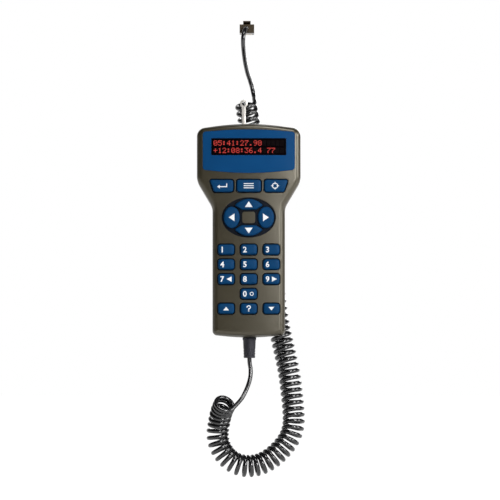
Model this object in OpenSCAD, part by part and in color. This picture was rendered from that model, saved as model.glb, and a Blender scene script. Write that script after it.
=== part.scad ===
// Hand controller that hangs by an eye, with a keypad, a two-line display and a curly cord.
// The eye's centre is the origin. The front looks along -Y and +X is on the right of someone facing it.

/* [Case] */
// Height of the case, bottom edge to top edge at the middle
case_h = 171; // [154:1:190]
// Width of the head, which holds the display
head_w = 83; // [75:1:92]
// Width of the handle, which holds the number keys
handle_w = 58; // [54:1:66]
// Thickness of the case, front face to back face
case_t = 30; // [29:1:40]
// Depth of the front cover, front face to parting plane
front_t = 15; // [14.5:0.5:16]
// Height over which the shoulders widen from the handle to the head
shoulder_h = 21; // [18:1:24]
// Distance from the shoulders' upper end to the panel
shoulder_gap = 6.4; // [6:0.2:8]
// Rise of the top edge from its corners to its middle
top_rise = 4; // [2:0.5:6]
// Drop of the bottom edge from its corners to its middle
bottom_drop = 2; // [1:0.5:4]
// Radius of the head's corners seen from the front
head_r = 7; // [6:0.5:9]
// Radius of the handle's bottom corners seen from the front
foot_r = 3.5; // [3:0.5:9]
// Rounding of the edge round the front face
front_r = 4.5; // [3:0.5:5]
// Rounding of the edge round the back face
rear_r = 5; // [3:0.5:6]
// Wall of the covers
wall = 2.2; // [1.8:0.1:2.4]

/* [Display] */
// Distance from the panel's ends to the case's sides
panel_side = 4.7; // [4.2:0.1:6]
// Height of the panel at its ends
panel_h = 30.4; // [28:0.2:33]
// Distance from the panel's upper bulge to the case's top edge
panel_top_gap = 4.8; // [4.4:0.1:6]
// Bulge of the panel's upper edge at the middle
panel_top_bulge = 1.8; // [1:0.1:2]
// Bulge of the panel's lower edge at the middle
panel_low_bulge = 2.6; // [1:0.1:2.6]
// Thickness of the panel, which lies flush in the face
panel_t = 0.6; // [0.4:0.1:0.8]
// Distance from the display opening to the panel's ends
window_side = 6.8; // [6:0.1:10]
// Height of the display opening
window_h = 13.6; // [12:0.2:15]
// Height of the opening's middle above the panel's middle
window_rise = 3.2; // [2:0.1:4]
// Distance from the display board's ends to the case's wall
screen_board_side = 2.3; // [2:0.1:3]
// Reach of the display board past the panel's upper and lower ends
screen_board_over = 0.3; // [0:0.1:0.5]
// Reach of the display frame past the opening's ends
screen_side = 1.5; // [1.2:0.1:1.8]
// Reach of the display frame past the opening's upper and lower edges
screen_over = 3.7; // [3:0.1:4]
// Sheet of the display frame
screen_sheet = 0.6; // [0.4:0.1:0.8]
// Thickness of the display glass
glass_t = 2; // [1.5:0.1:2.2]

/* [Keys] */
// Height of the keys above the face
key_proud = 1.8; // [1.2:0.1:2.5]
// Travel of a key
key_travel = 1.2; // [0.8:0.1:1.4]
// Clearance round a key in its hole
key_gap = 0.3; // [0.2:0.05:0.35]
// Width of a number key
key_w = 13; // [11:0.2:13.6]
// Height of a number key
key_h = 8.2; // [7:0.2:8.6]
// Corner radius of a number key
key_r = 2.2; // [1:0.1:2.5]
// Distance from the outer number keys to the case's sides
key_side = 4.4; // [4:0.1:5]
// Share of the spare height below the lowest keys
key_foot = 18.7; // [16:0.1:22]
// Share of the spare height between two rows of number keys
key_row_gap = 3.6; // [3:0.1:4.2]
// Share of the spare height between the number keys and the arrow pad
pad_low_gap = 5.9; // [4:0.1:8]
// Share of the spare height between the arrow pad and the top keys
pad_top_gap = 4.7; // [4:0.1:6]
// Share of the spare height between the top keys and the panel
panel_gap = 5.5; // [4.5:0.1:6.5]
// Width of the middle top key
top_key_w = 19.5; // [17:0.5:20]
// Height of a top key
top_key_h = 9.8; // [8:0.2:10]
// Gap between two top keys
top_key_gap = 2.6; // [2:0.1:3.5]
// Distance from the top keys to the case's sides
top_key_side = 10.1; // [9:0.1:12]
// Lean of the top keys' outer ends
top_key_slant = 3.4; // [2:0.1:4]
// Width of the arrow pad's ring of keys
pad_w = 41; // [37:0.5:44]
// Height of the arrow pad's ring of keys
pad_h = 29.8; // [29:0.2:31]
// Depth of the recess round the arrow keys
pad_recess = 0.6; // [0.3:0.1:0.8]
// Reach of a key's retaining tab past the key's edge
tab_reach = 1.2; // [0.8:0.1:1.2]
// Thickness of a key's retaining tab
tab_t = 1; // [0.8:0.1:1.2]
// Radius of a key's plunger
stem_r = 1.5; // [1:0.1:1.8]

/* [Boards] */
// Distance from the face's inside to the boards
board_stand = 4.8; // [4.6:0.1:5.2]
// Thickness of the boards
board_t = 1.6; // [1.2:0.1:2]
// Thickness of the keypad mat
mat_t = 1.8; // [1.4:0.1:1.8]
// Thickness of a contact pad
pad_t = 0.1; // [0.05:0.05:0.1]
// Radius of the posts that carry the boards
post_r = 2; // [1.8:0.1:2.2]
// Radius of a board screw's shank
board_screw_r = 0.9; // [0.7:0.05:1]

/* [Fasteners] */
// Radius of the bosses for the case screws
boss_r = 3; // [2.6:0.1:3.2]
// Radius of a case screw's shank
screw_r = 1.4; // [1.2:0.1:1.5]
// Radius of a case screw's head
screw_head_r = 2.3; // [2:0.1:2.5]
// Height of a case screw's head
screw_head_h = 1.8; // [1.4:0.1:2.2]
// Depth of a case screw's head below the back face
screw_sink = 6; // [5:0.5:8]
// Reach of a case screw into the front cover's boss
screw_bite = 6; // [4:0.5:6]
// Radial clearance of a screw in its hole
screw_gap = 0.1; // [0.05:0.05:0.15]

/* [Hanger] */
// Width of the hanger's strip
hanger_w = 3.2; // [3:0.1:4]
// Thickness of the hanger's strip
hanger_t = 1.2; // [1:0.1:1.6]
// Place of the hanger left of the case's middle
hanger_x = 4; // [0:0.5:8]
// Height of the eye above the case's top edge
hanger_rise = 17; // [15:0.5:20]
// Radius of the hole in the eye
eye_r = 1.6; // [1.2:0.1:2]
// Rim round the hole in the eye
eye_rim = 1.5; // [1:0.1:2]
// Width of the hanger's foot, which the covers trap
hanger_foot_w = 9; // [7:0.5:9]
// Height of the hanger's foot
hanger_foot_h = 2.2; // [1.6:0.1:2.2]

/* [Cord] */
// Diameter of the cord
wire_d = 3.1; // [2.7:0.1:3.1]
// Outer diameter of the curls
curl_od = 18.3; // [17:0.1:18.5]
// Pitch of the curls in the hanging loop
curl_pitch = 5.1; // [5.1:0.05:5.4]
// Pitch of the curls behind the case, where they hang from the plug
curl_slack_pitch = 5.7; // [5.6:0.05:6]
// Diameter of the boot where it leaves the case
boot_d = 11; // [9:0.1:11.6]
// Diameter of the boot at its lower end
boot_tip_d = 9.2; // [6:0.1:9.6]
// Length of the boot below the case
boot_len = 16.5; // [14:0.5:20]
// Width of a modular plug
plug_w = 11.7; // [11.5:0.1:11.8]
// Height of a modular plug
plug_h = 7; // [6.5:0.1:8]
// Length of a modular plug
plug_len = 17; // [15:0.5:18]
// Clearance of a plug in its jack
plug_gap = 0.2; // [0.1:0.05:0.3]
// Wall of the cord jack
jack_wall = 1.6; // [1.2:0.1:2]

/* [Hidden] */
$fn = 48;

// Overshoot that lets a cut pass a face
eps = 0.5;

// Colours of the photographed object
case_colour = [0.26, 0.25, 0.21];
blue = [0.06, 0.22, 0.42];
dark = [0.05, 0.05, 0.06];
board_green = [0.05, 0.25, 0.12];
steel = [0.78, 0.78, 0.76];
gold = [0.8, 0.62, 0.25];

// Layout of the face: widths
panel_w = head_w - 2 * panel_side;
window_w = panel_w - 2 * window_side;
screen_w = window_w + 2 * screen_side;
screen_h = window_h + 2 * screen_over;
screen_board_w = head_w - 2 * wall - 2 * screen_board_side;
screen_board_h = panel_h + 2 * screen_board_over;
key_dx = (handle_w - key_w) / 2 - key_side;

// Layout of the face: heights above the bottom edge. The panel hangs from the top edge, and the gaps below it
// share the height that the keys leave
pad_rim = 0.8;
key_rows = 5;
pad_room_h = pad_h + 2 * pad_rim;
panel_z = case_h - panel_top_gap - panel_top_bulge - panel_h / 2;
window_z = panel_z + window_rise;
panel_low_z = panel_z - panel_h / 2 - panel_low_bulge;
spare_h = panel_low_z - top_key_h - pad_room_h - key_rows * key_h;
spare = spare_h / (key_foot + (key_rows - 1) * key_row_gap + pad_low_gap + pad_top_gap + panel_gap);
key_dz = key_h + key_row_gap * spare;
key_z = key_foot * spare + key_h / 2;
top_row_z = key_z + (key_rows - 1) * key_dz;
pad_z = top_row_z + key_h / 2 + pad_low_gap * spare + pad_room_h / 2;
top_key_z = panel_low_z - panel_gap * spare - top_key_h / 2;
shoulder_high = panel_low_z - shoulder_gap;
shoulder_low = shoulder_high - shoulder_h;

// Depths behind the front face
board_y = wall + board_stand;
board_back_y = board_y + board_t;
tab_y = wall + key_gap;
stem_end_y = board_y - pad_t - key_gap - key_travel;
lens_t = 1;
screen_front_gap = 0.1;
screen_y = wall + lens_t + screen_front_gap;

// Heights of the boards' edges
board_low_z = 5;
board_top_over = 4;
board_top_z = shoulder_high + board_top_over;
board_edge_gap = 0.5;
screen_board_drop = 0.2;
screen_board_z = panel_z - screen_board_drop;

// Places of the fasteners, from the case's middle and its bottom edge
low_post_side = 9;
mid_post_side = 7;
mid_post_drop = 6.1;
screen_post_in = 3;
low_post_x = handle_w / 2 - low_post_side;
low_post_z = (board_low_z + key_z - key_h / 2) / 2;
mid_post_x = handle_w / 2 - mid_post_side;
mid_post_z = top_key_z - top_key_h / 2 - mid_post_drop;
screen_post_gap = 0.5;
screen_post_x = screen_w / 2 + screen_post_gap + post_r;
screen_post_dz = screen_board_h / 2 - screen_post_in;
post_spots = [
    for (s = [-1, 1]) each [
        [s * low_post_x, low_post_z],
        [s * mid_post_x, mid_post_z],
        [s * screen_post_x, screen_board_z - screen_post_dz],
        [s * screen_post_x, screen_board_z + screen_post_dz]
    ]
];
boss_sink = 0.8;
boss_over = 4.2;
boss_spots = [
    for (s = [-1, 1]) each [
        [s * key_dx, key_z + key_dz],
        [s * (head_w / 2 - wall - boss_r + boss_sink), shoulder_high + boss_over]
    ]
];

// The case's bottom middle, seen from the eye
case_at = [hanger_x, -case_t / 2, -case_h - hanger_rise];

// Puts a piece, drawn from the case's bottom middle and its front face, in its place
module in_case() translate(case_at) children();

// Extrudes a shape drawn as x and z between two depths
module slab(y0, y1) {
    translate([0, y1, 0]) rotate([90, 0, 0]) linear_extrude(y1 - y0) children();
}

// A round bar along Y between two depths
module bar(at, r, y0, y1) {
    translate([at[0], y1, at[1]]) rotate([90, 0, 0]) cylinder(r = r, h = y1 - y0);
}

// Points of a polygon whose corners, given as x, z, radius and steps, are arcs
function unit(v) = v / norm(v);
function corner_arc(before, at, after, r, steps) = let (
        p = [at[0], at[1]],
        u = unit([before[0], before[1]] - p),
        v = unit([after[0], after[1]] - p),
        half = acos(u * v) / 2,
        centre = p + unit(u + v) * r / sin(half),
        first = p + u * r / tan(half) - centre,
        turn = (u[0] * v[1] - u[1] * v[0] > 0 ? -1 : 1) * (180 - 2 * half)
    ) [
        for (i = [0:steps])
            let (a = turn * i / steps)
                centre + [first[0] * cos(a) - first[1] * sin(a), first[0] * sin(a) + first[1] * cos(a)]
    ];
function rounded(corners) = let (n = len(corners)) [
    for (i = [0:n - 1])
        let (c = corners[i])
            each corner_arc(corners[(i + n - 1) % n], c, corners[(i + 1) % n], c[2], c[3])
];

// The same polygon drawn inwards by d
function inset(points, d) = let (n = len(points)) [
    for (i = [0:n - 1])
        let (
            a = unit(points[i] - points[(i + n - 1) % n]),
            b = unit(points[(i + 1) % n] - points[i]),
            na = [-a[1], a[0]],
            nb = [-b[1], b[0]]
        ) points[i] + (na + nb) * d / (1 + na * nb)
];

// A bowed edge is a corner whose arc takes up a share of the edge: its height and its radius
bow_share = 0.7;
function bow_h(rise) = rise / (1 - bow_share / 2);
function bow_r(half, rise) = bow_share * half / sin(atan(bow_h(rise) / half));

// Corners of the case, counter-clockwise from its bottom middle
function mirrored(corners) = [
    for (i = [len(corners) - 1:-1:0])
        let (c = corners[i]) [-c[0], c[1], c[2], c[3]]
];
shoulder_r = 14;
bottom_steps = 4;
top_steps = 6;
case_side = [
    [handle_w / 2, bottom_drop, foot_r, 4],
    [handle_w / 2, shoulder_low, shoulder_r, 2],
    [head_w / 2, shoulder_high, shoulder_r, 2],
    [head_w / 2, case_h - top_rise, head_r, 5]
];
case_corners = concat(
    [[0, bottom_drop - bow_h(bottom_drop), bow_r(handle_w / 2, bottom_drop), bottom_steps]],
    case_side,
    [[0, case_h - top_rise + bow_h(top_rise), bow_r(head_w / 2, top_rise), top_steps]],
    mirrored(case_side)
);

// Outline of the case drawn in by d: hollow corners widen, and the others tighten to a least radius
least_r = 0.5;
function case_in(d) = let (
        n = len(case_corners),
        at = [for (c = case_corners) [c[0], c[1]]],
        moved = inset(at, d)
    ) rounded([
        for (i = [0:n - 1])
            let (
                c = case_corners[i],
                a = at[i] - at[(i + n - 1) % n],
                b = at[(i + 1) % n] - at[i],
                hollow = a[0] * b[1] - a[1] * b[0] < 0
            ) [moved[i][0], moved[i][1], hollow ? c[2] + d : max(c[2] - d, least_r), c[3]]
    ]);

// Triangles round a tube whose points are rings of n
function tube_sides(rings, n) = [
    for (k = [0:rings - 2], i = [0:n - 1])
        let (j = (i + 1) % n, a = k * n, b = a + n) each [[a + i, a + j, b + j], [a + i, b + j, b + i]]
];
function flipped(faces) = [for (f = faces) [for (i = [len(f) - 1:-1:0]) f[i]]];

// Triangles of a cap on a ring of the case's outline, in bands from side to side
function case_cap(first, n) = let (low = bottom_steps / 2, high = low + n / 2) [
    for (i = [low:high - 1])
        let (
            a = first + i,
            b = a + 1,
            c = first + (2 * low - i - 1 + n) % n,
            d = first + (2 * low - i + n) % n
        ) each i == low ? [[a, b, c]] : i == high - 1 ? [[a, b, d]] : [[a, b, c], [a, c, d]]
];

// Solid of the case's outline between two depths, with its edge at depth y_edge rounded by r
edge_steps = 4;
module rounded_case(y_open, y_edge, r) {
    n = len(case_in(0));
    s = sign(y_edge - y_open);
    rings = concat(
        [[y_open, 0]],
        [
            for (k = [0:edge_steps])
                let (a = 90 * k / edge_steps) [y_edge - s * r * (1 - sin(a)), r * (1 - cos(a))]
        ]
    );
    last = len(rings) - 1;
    points = [for (ring = rings) each [for (p = case_in(ring[1])) [p[0], ring[0], p[1]]]];
    faces = concat(tube_sides(last + 1, n), flipped(case_cap(0, n)), case_cap(last * n, n));
    polyhedron(points, s < 0 ? flipped(faces) : faces, convexity = 6);
}

// Room inside the case
module case_room() polygon(case_in(wall));

// Outline of the display panel
panel_r = 2.6;
panel_points = rounded([
    [0, panel_z - panel_h / 2 - bow_h(panel_low_bulge), bow_r(panel_w / 2, panel_low_bulge), 6],
    [panel_w / 2, panel_z - panel_h / 2, panel_r, 5],
    [panel_w / 2, panel_z + panel_h / 2, panel_r, 5],
    [0, panel_z + panel_h / 2 + bow_h(panel_top_bulge), bow_r(panel_w / 2, panel_top_bulge), 6],
    [-panel_w / 2, panel_z + panel_h / 2, panel_r, 5],
    [-panel_w / 2, panel_z - panel_h / 2, panel_r, 5]
]);

// Points of the keys' shapes about their own middles
function round_rect(w, h, r) = rounded([
    [-w / 2, -h / 2, r, 5], [w / 2, -h / 2, r, 5], [w / 2, h / 2, r, 5], [-w / 2, h / 2, r, 5]
]);
function ellipse(w, h) = [for (a = [0:10:350]) [w / 2 * cos(a), h / 2 * sin(a)]];
function turned(points) = [for (p = points) -p];
top_key_outer = head_w / 2 - top_key_side;
top_key_from = top_key_w / 2 + top_key_gap;
right_top_key = rounded([
    [top_key_from, -top_key_h / 2, key_r, 4],
    [top_key_outer - top_key_slant, -top_key_h / 2, key_r, 4],
    [top_key_outer, top_key_h / 2, key_r, 4],
    [top_key_from, top_key_h / 2, key_r, 4]
]);
left_top_key = [for (i = [len(right_top_key) - 1:-1:0]) [-right_top_key[i][0], right_top_key[i][1]]];
island_w = 12;
island_h = 9.6;
side_arrow_h = 17.2;
side_arrow_in = 0.3;
island_gap_x = 1.2;
island_gap_z = 1.4;
arrow_tip_in = 2.3;
arrow_tip_rise = 1;
side_arrow_w = pad_w / 2 - side_arrow_in - island_w / 2 - island_gap_x;
side_arrow_x = pad_w / 2 - side_arrow_in - side_arrow_w / 2;
arrow_half_w = side_arrow_x - arrow_tip_in;
arrow_inner = island_h / 2 + island_gap_z;
arrow_end = side_arrow_h / 2 + arrow_tip_rise;
arrow_inner_r = 1.5;
arrow_tip_r = 0.9;
arrow_crown = 5;
arrow_crown_share = 0.853;
arrow_crown_h = pad_h / 2 + arrow_crown - arrow_end;
arrow_crown_r = arrow_crown_share * norm([arrow_half_w, arrow_crown_h]) * arrow_half_w / arrow_crown_h;
lens_key = rounded([
    [-arrow_half_w / 2, arrow_inner, arrow_inner_r, 3],
    [arrow_half_w / 2, arrow_inner, arrow_inner_r, 3],
    [arrow_half_w, arrow_end, arrow_tip_r, 4],
    [0, arrow_end + arrow_crown_h, arrow_crown_r, 10],
    [-arrow_half_w, arrow_end, arrow_tip_r, 4]
]);

// Every key: its name, its place, its points, and the middle, width and height of its retaining tab
number_key = round_rect(key_w, key_h, key_r);
side_key = ellipse(side_arrow_w, side_arrow_h);
tab_w = 6;
number_tab = [key_w + 2 * tab_reach, key_h / 2];
top_tab = [tab_w, top_key_h + 2 * tab_reach];
lens_mid = (pad_h / 2 + arrow_inner) / 2;
lens_tab = [tab_w, pad_h / 2 - arrow_inner + 2 * tab_reach];
side_tab = [side_arrow_w + 2 * tab_reach, tab_w - 1];
side_top_mid = (top_key_from + top_key_outer - top_key_slant) / 2;
function grid(col, row) = [col * key_dx, key_z + row * key_dz];
function digit_spot(d) = grid((d - 1) % 3 - 1, key_rows - 1 - floor((d - 1) / 3));
KEYS = [
    ["key_return", [0, top_key_z], left_top_key, [-side_top_mid, 0], top_tab],
    ["key_menu", [0, top_key_z], round_rect(top_key_w, top_key_h, key_r), [0, 0], top_tab],
    ["key_go", [0, top_key_z], right_top_key, [side_top_mid, 0], top_tab],
    ["key_arrow_up", [0, pad_z], lens_key, [0, lens_mid], lens_tab],
    ["key_arrow_down", [0, pad_z], turned(lens_key), [0, -lens_mid], lens_tab],
    ["key_arrow_left", [-side_arrow_x, pad_z], side_key, [0, 0], side_tab],
    ["key_arrow_right", [side_arrow_x, pad_z], side_key, [0, 0], side_tab],
    for (d = [1:9]) [str("key_", d), digit_spot(d), number_key, [0, 0], number_tab],
    ["key_0", grid(0, 1), number_key, [0, 0], number_tab],
    ["key_scroll_up", grid(-1, 0), number_key, [0, 0], number_tab],
    ["key_help", grid(0, 0), number_key, [0, 0], number_tab],
    ["key_scroll_down", grid(1, 0), number_key, [0, 0], number_tab]
];
function key_stem(k) = k[1] + k[3];

// One key: its cap, its retaining tab and its plunger
module key(name) color(blue) in_case() {
    for (k = KEYS) {
        if (k[0] == name) {
            slab(-key_proud, tab_y + tab_t) translate(k[1]) polygon(k[2]);
            slab(tab_y, tab_y + tab_t) translate(key_stem(k)) square(k[4], center = true);
            bar(key_stem(k), stem_r, tab_y, stem_end_y);
        }
    }
}

// Cuts that both covers share at the parting plane: the hanger's slot and the plug's mouth
mouth_gap = 0.4;
boot_x = 0.5;
hanger_foot_gap = 0.5;
hanger_foot_z = case_h - wall - hanger_foot_gap - hanger_foot_h;
module hanger_slot() {
    translate([-hanger_x, case_t / 2, case_h]) {
        cube([hanger_w + 2 * key_gap, hanger_t + 2 * key_gap, 6 * wall], center = true);
    }
}
module plug_mouth() {
    translate([boot_x, case_t / 2, wall]) {
        cube([plug_w + 2 * mouth_gap, plug_h + 2 * mouth_gap, 6 * wall], center = true);
    }
}

// Front half of the case
post_hole_depth = 3.6;
boss_hole_spare = 1;
module front_cover() color(case_colour) in_case() {
    difference() {
        union() {
            difference() {
                rounded_case(front_t, 0, front_r);
                slab(wall, front_t + eps) case_room();
            }
            for (p = post_spots) bar(p, post_r, wall - eps, board_y);
            for (p = boss_spots) bar(p, boss_r, wall - eps, front_t);
        }
        slab(-eps, panel_t) polygon(inset(panel_points, -key_gap / 2));
        slab(-eps, wall + eps) translate([0, window_z]) square([window_w, window_h], center = true);
        slab(-eps, pad_recess) translate([0, pad_z]) difference() {
            polygon(ellipse(pad_w + 2 * pad_rim, pad_h + 2 * pad_rim));
            polygon(round_rect(island_w, island_h, key_r));
        }
        for (k = KEYS) {
            slab(-eps, wall + eps) translate(k[1]) polygon(inset(k[2], -key_gap));
        }
        for (p = post_spots) bar(p, board_screw_r + screw_gap, board_y - post_hole_depth, board_y + eps);
        for (p = boss_spots) {
            bar(p, screw_r + screw_gap, front_t - screw_bite - boss_hole_spare, front_t + eps);
        }
        hanger_slot();
        plug_mouth();
    }
}

// Back half of the case
module rear_cover() color(case_colour) in_case() {
    difference() {
        union() {
            difference() {
                rounded_case(front_t, case_t, rear_r);
                slab(front_t - eps, case_t - wall) case_room();
            }
            for (p = boss_spots) bar(p, boss_r, front_t, case_t - wall + eps);
        }
        for (p = boss_spots) {
            bar(p, screw_r + screw_gap, front_t - eps, case_t);
            bar(p, screw_head_r + screw_gap, case_t - screw_sink, case_t + eps);
        }
        hanger_slot();
        plug_mouth();
    }
}

// Screws that hold the covers together
module case_screws() color(steel) in_case() {
    for (p = boss_spots) {
        bar(p, screw_r, front_t - screw_bite, case_t - screw_sink);
        bar(p, screw_head_r, case_t - screw_sink, case_t - screw_sink + screw_head_h);
    }
}

// Screws that hold the boards on their posts
board_screw_head_r = 1.8;
board_screw_head_h = 1.2;
board_screw_len = 3;
module board_screws() color(steel) in_case() {
    for (p = post_spots) {
        bar(p, board_screw_r, board_y - board_screw_len, board_back_y);
        bar(p, board_screw_head_r, board_back_y, board_back_y + board_screw_head_h);
    }
}

// Blue panel that lies flush round the display
module display_panel() color(blue) in_case() {
    slab(0, panel_t) difference() {
        polygon(panel_points);
        translate([0, window_z]) square([window_w, window_h], center = true);
    }
}

// Dark clear window, bonded behind the face with its raised middle in the opening
lens_rim = 1.2;
module display_window() color(dark) in_case() {
    translate([0, 0, window_z]) {
        slab(panel_t, wall) square([window_w - key_gap, window_h - key_gap], center = true);
        slab(wall, wall + lens_t) square([window_w + 2 * lens_rim, window_h + 2 * lens_rim], center = true);
    }
}

// Bent sheet frame that clamps the glass on the display board
screen_gap = 0.2;
screen_lip = 0.5;
module display_frame() color(steel) in_case() {
    translate([0, 0, window_z]) difference() {
        slab(screen_y, board_y) square([screen_w, screen_h], center = true);
        slab(screen_y + screen_sheet, board_y + eps)
            square([screen_w - 2 * screen_sheet, screen_h - 2 * screen_sheet], center = true);
        slab(screen_y - eps, board_y) square([window_w - 2 * screen_lip, window_h], center = true);
    }
}

// A layer inside the display frame
module screen_layer(y0, y1) translate([0, 0, window_z]) {
    side = 2 * screen_sheet + 2 * screen_gap;
    slab(y0, y1) square([screen_w - side, screen_h - side], center = true);
}
module display_glass() color(dark) in_case() {
    screen_layer(screen_y + screen_sheet, screen_y + screen_sheet + glass_t);
}
module backlight() color("firebrick") in_case() {
    screen_layer(screen_y + screen_sheet + glass_t, board_y);
}

// Board of the display
module display_board() color(board_green) in_case() {
    slab(board_y, board_back_y) difference() {
        translate([0, screen_board_z]) square([screen_board_w, screen_board_h], center = true);
        for (p = post_spots) translate(p) circle(board_screw_r + screw_gap);
    }
}

// Flat link that joins the two boards at their backs
link_w = 28;
link_t = 0.4;
link_reach = 5;
link_low_z = board_top_z - link_reach;
link_top_z = screen_board_z - screen_board_h / 2 + link_reach;
module display_link() color("wheat") in_case() {
    slab(board_back_y, board_back_y + link_t)
        translate([-link_w / 2, link_low_z]) square([link_w, link_top_z - link_low_z]);
}

// Part of the case's room between two heights, drawn in by a gap
module room_band(gap, z0, z1) intersection() {
    polygon(case_in(wall + gap));
    translate([-head_w / 2, z0]) square([head_w, z1 - z0]);
}

// Board that carries the keypad's contacts and the electronics
module main_board() color(board_green) in_case() {
    slab(board_y, board_back_y) difference() {
        room_band(board_edge_gap, board_low_z, board_top_z);
        for (p = post_spots) translate(p) circle(board_screw_r + screw_gap);
        for (p = boss_spots) translate(p) circle(boss_r + key_gap);
    }
}

// Rubber mat on the board, with a hole round every plunger
mat_edge_gap = 0.3;
mat_low = 2.7;
mat_top_gap = 0.8;
mat_stem_gap = 0.5;
module keypad_mat() color("dimgray") in_case() {
    slab(board_y - mat_t, board_y) difference() {
        room_band(board_edge_gap + mat_edge_gap, key_z - key_h / 2 - mat_low, board_top_z - mat_top_gap);
        for (k = KEYS) translate(key_stem(k)) circle(stem_r + mat_stem_gap);
        for (p = post_spots) translate(p) circle(post_r + key_gap);
        for (p = boss_spots) translate(p) circle(boss_r + key_gap);
    }
}

// Contact pads on the board, one under every plunger
module contact_pads() color(gold) in_case() {
    for (k = KEYS) bar(key_stem(k), stem_r, board_y - pad_t, board_y);
}

// A block on the back of the main board, given by its middle and its width, height and thickness.
// The blocks keep their distance from the lower bosses or from the middle of the arrow pad
boss_z = key_z + key_dz;
processor_at = [0, pad_z - 7.7];
processor_size = [14, 14, 2];
memory_at = [0, boss_z + 27.4];
memory_size = [11, 18, 2.4];
crystal_at = [14, pad_z - 7.7];
crystal_size = [4.6, 11, 3.6];
regulator_at = [-15, boss_z - 10.6];
regulator_size = [9, 10, 4.4];
module chip(at, size) {
    slab(board_back_y, board_back_y + size[2]) translate(at) square([size[0], size[1]], center = true);
}
module processor_chip() color(dark) in_case() chip(processor_at, processor_size);
module memory_chip() color(dark) in_case() chip(memory_at, memory_size);
module crystal() color(steel) in_case() chip(crystal_at, crystal_size);
module regulator() color(dark) in_case() chip(regulator_at, regulator_size);
capacitor_spots = [for (dz = [11.4, 21.4]) [16, boss_z + dz]];
capacitor_r = 3.1;
capacitor_h = 8;
module capacitors() color("midnightblue") in_case() {
    for (p = capacitor_spots) bar(p, capacitor_r, board_back_y, board_back_y + capacitor_h);
}
beeper_at = [-14, boss_z + 29.4];
beeper_r = 6;
beeper_h = 5.4;
beeper_hole_r = 1;
beeper_hole_depth = 3;
module beeper() color(dark) in_case() difference() {
    bar(beeper_at, beeper_r, board_back_y, board_back_y + beeper_h);
    bar(beeper_at, beeper_hole_r, board_back_y + beeper_h - beeper_hole_depth, board_back_y + beeper_h + eps);
}

// Metal strip with an eye, trapped by its foot between the covers
module hanger() color(steel) {
    foot_z = hanger_foot_z - case_h - hanger_rise;
    difference() {
        slab(-hanger_t / 2, hanger_t / 2) union() {
            circle(eye_r + eye_rim);
            translate([-hanger_w / 2, foot_z]) square([hanger_w, -foot_z]);
            translate([-hanger_foot_w / 2, foot_z]) square([hanger_foot_w, hanger_foot_h]);
        }
        bar([0, 0], eye_r, -hanger_t, hanger_t);
    }
}

// Jack on the main board that takes the handset's plug
jack_len = 16;
jack_in = 0.2;
jack_z = board_low_z + jack_in;
jack_w = plug_w + 2 * plug_gap + 2 * jack_wall;
jack_back_y = case_t / 2 + plug_h / 2 + plug_gap + jack_wall;
module cord_jack() color(dark) in_case() difference() {
    translate([boot_x - jack_w / 2, board_back_y, jack_z])
        cube([jack_w, jack_back_y - board_back_y, jack_len]);
    translate([boot_x - plug_w / 2 - plug_gap, case_t / 2 - plug_h / 2 - plug_gap, jack_z - eps])
        cube([plug_w + 2 * plug_gap, plug_h + 2 * plug_gap, plug_len + plug_gap - jack_z + eps]);
}

// Leads of the jack, soldered flat on the board
lead_len = 4;
lead_t = 0.5;
module jack_contacts() color(gold) in_case() {
    for (x = blade_x) {
        translate([boot_x + x - blade_t / 2, board_back_y, jack_z + jack_len])
            cube([blade_t, lead_t, lead_len]);
    }
}

// A modular plug whose nose points along +Z, drawn from the middle of its cord end
blade_n = 8;
blade_dx = 1.02;
blade_t = 0.4;
blade_len = 6;
blade_depth = 1.6;
blade_fit = 0.02;
nose_t = 1;
blade_x = [for (i = [0:blade_n - 1]) (i - (blade_n - 1) / 2) * blade_dx];
blade_y = plug_h / 2 - blade_depth;
blade_z = plug_len - blade_len - nose_t;
module plug_blades(gap) {
    for (x = blade_x) {
        translate([x - blade_t / 2 - gap, blade_y - gap, blade_z - gap])
            cube([blade_t + 2 * gap, blade_depth + 2 * gap, blade_len + 2 * gap]);
    }
}
module plug_body() difference() {
    translate([-plug_w / 2, -plug_h / 2, 0]) cube([plug_w, plug_h, plug_len]);
    plug_blades(blade_fit);
}
module handset_plug() color("gray") in_case() translate([boot_x, case_t / 2, 0]) plug_body();
module handset_plug_contacts() color(gold) in_case() translate([boot_x, case_t / 2, 0]) plug_blades(0);

// Tapered sleeve where the cord leaves the case
boot_lip = 2;
boot_lip_step = 0.4;
module cord_boot() color(dark) in_case() translate([boot_x, case_t / 2, -boot_len]) rotate_extrude() polygon([
    [0, 0],
    [boot_tip_d / 2, 0],
    [boot_d / 2 - boot_lip_step, boot_len - boot_lip],
    [boot_d / 2, boot_len - boot_lip],
    [boot_d / 2, boot_len],
    [0, boot_len]
]);

// Route of the curls' middle line, from the open lower end round the loop and up behind the case:
// x from the case's middle, depth behind the front face, and height above the case's bottom edge
curl_route = [
    [-18.8, 0.6, -52.8], [-21.6, 8.2, -59], [-23.7, 13.7, -67.7], [-24.9, 16, -78.6], [-22.2, 17, -89],
    [-14.7, 18.4, -98.2], [-4.7, 20.2, -102.8], [6.4, 22.6, -102.5], [16.1, 25, -98.3], [25.2, 27.6, -90.8],
    [32.7, 30.2, -81], [36, 32.5, -70.5], [36, 35, -58.8], [34.6, 37, -43.8], [32.8, 39, -29.6],
    [30, 40.6, -15.4], [26.8, 41.4, -1.2], [23.8, 41.5, 13], [19, 41.5, 46], [13, 41.5, 88], [7, 41.5, 131],
    [2.4, 41.5, 162], [0, 39.5, 176], [-2.5, 33, 190]
];
// Point of the route up to which the curls lie close together
close_to = 17;
// Route of the lower lead, from the boot to the curls
lead_route = [
    [boot_x, case_t / 2, -boot_len], [0.7, 15, -20.5], [1.5, 14.8, -26], [1.2, 14, -32], [-0.4, 12.4, -38],
    [-2.9, 9.6, -44], [-5.9, 6.4, -49.3]
];
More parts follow.
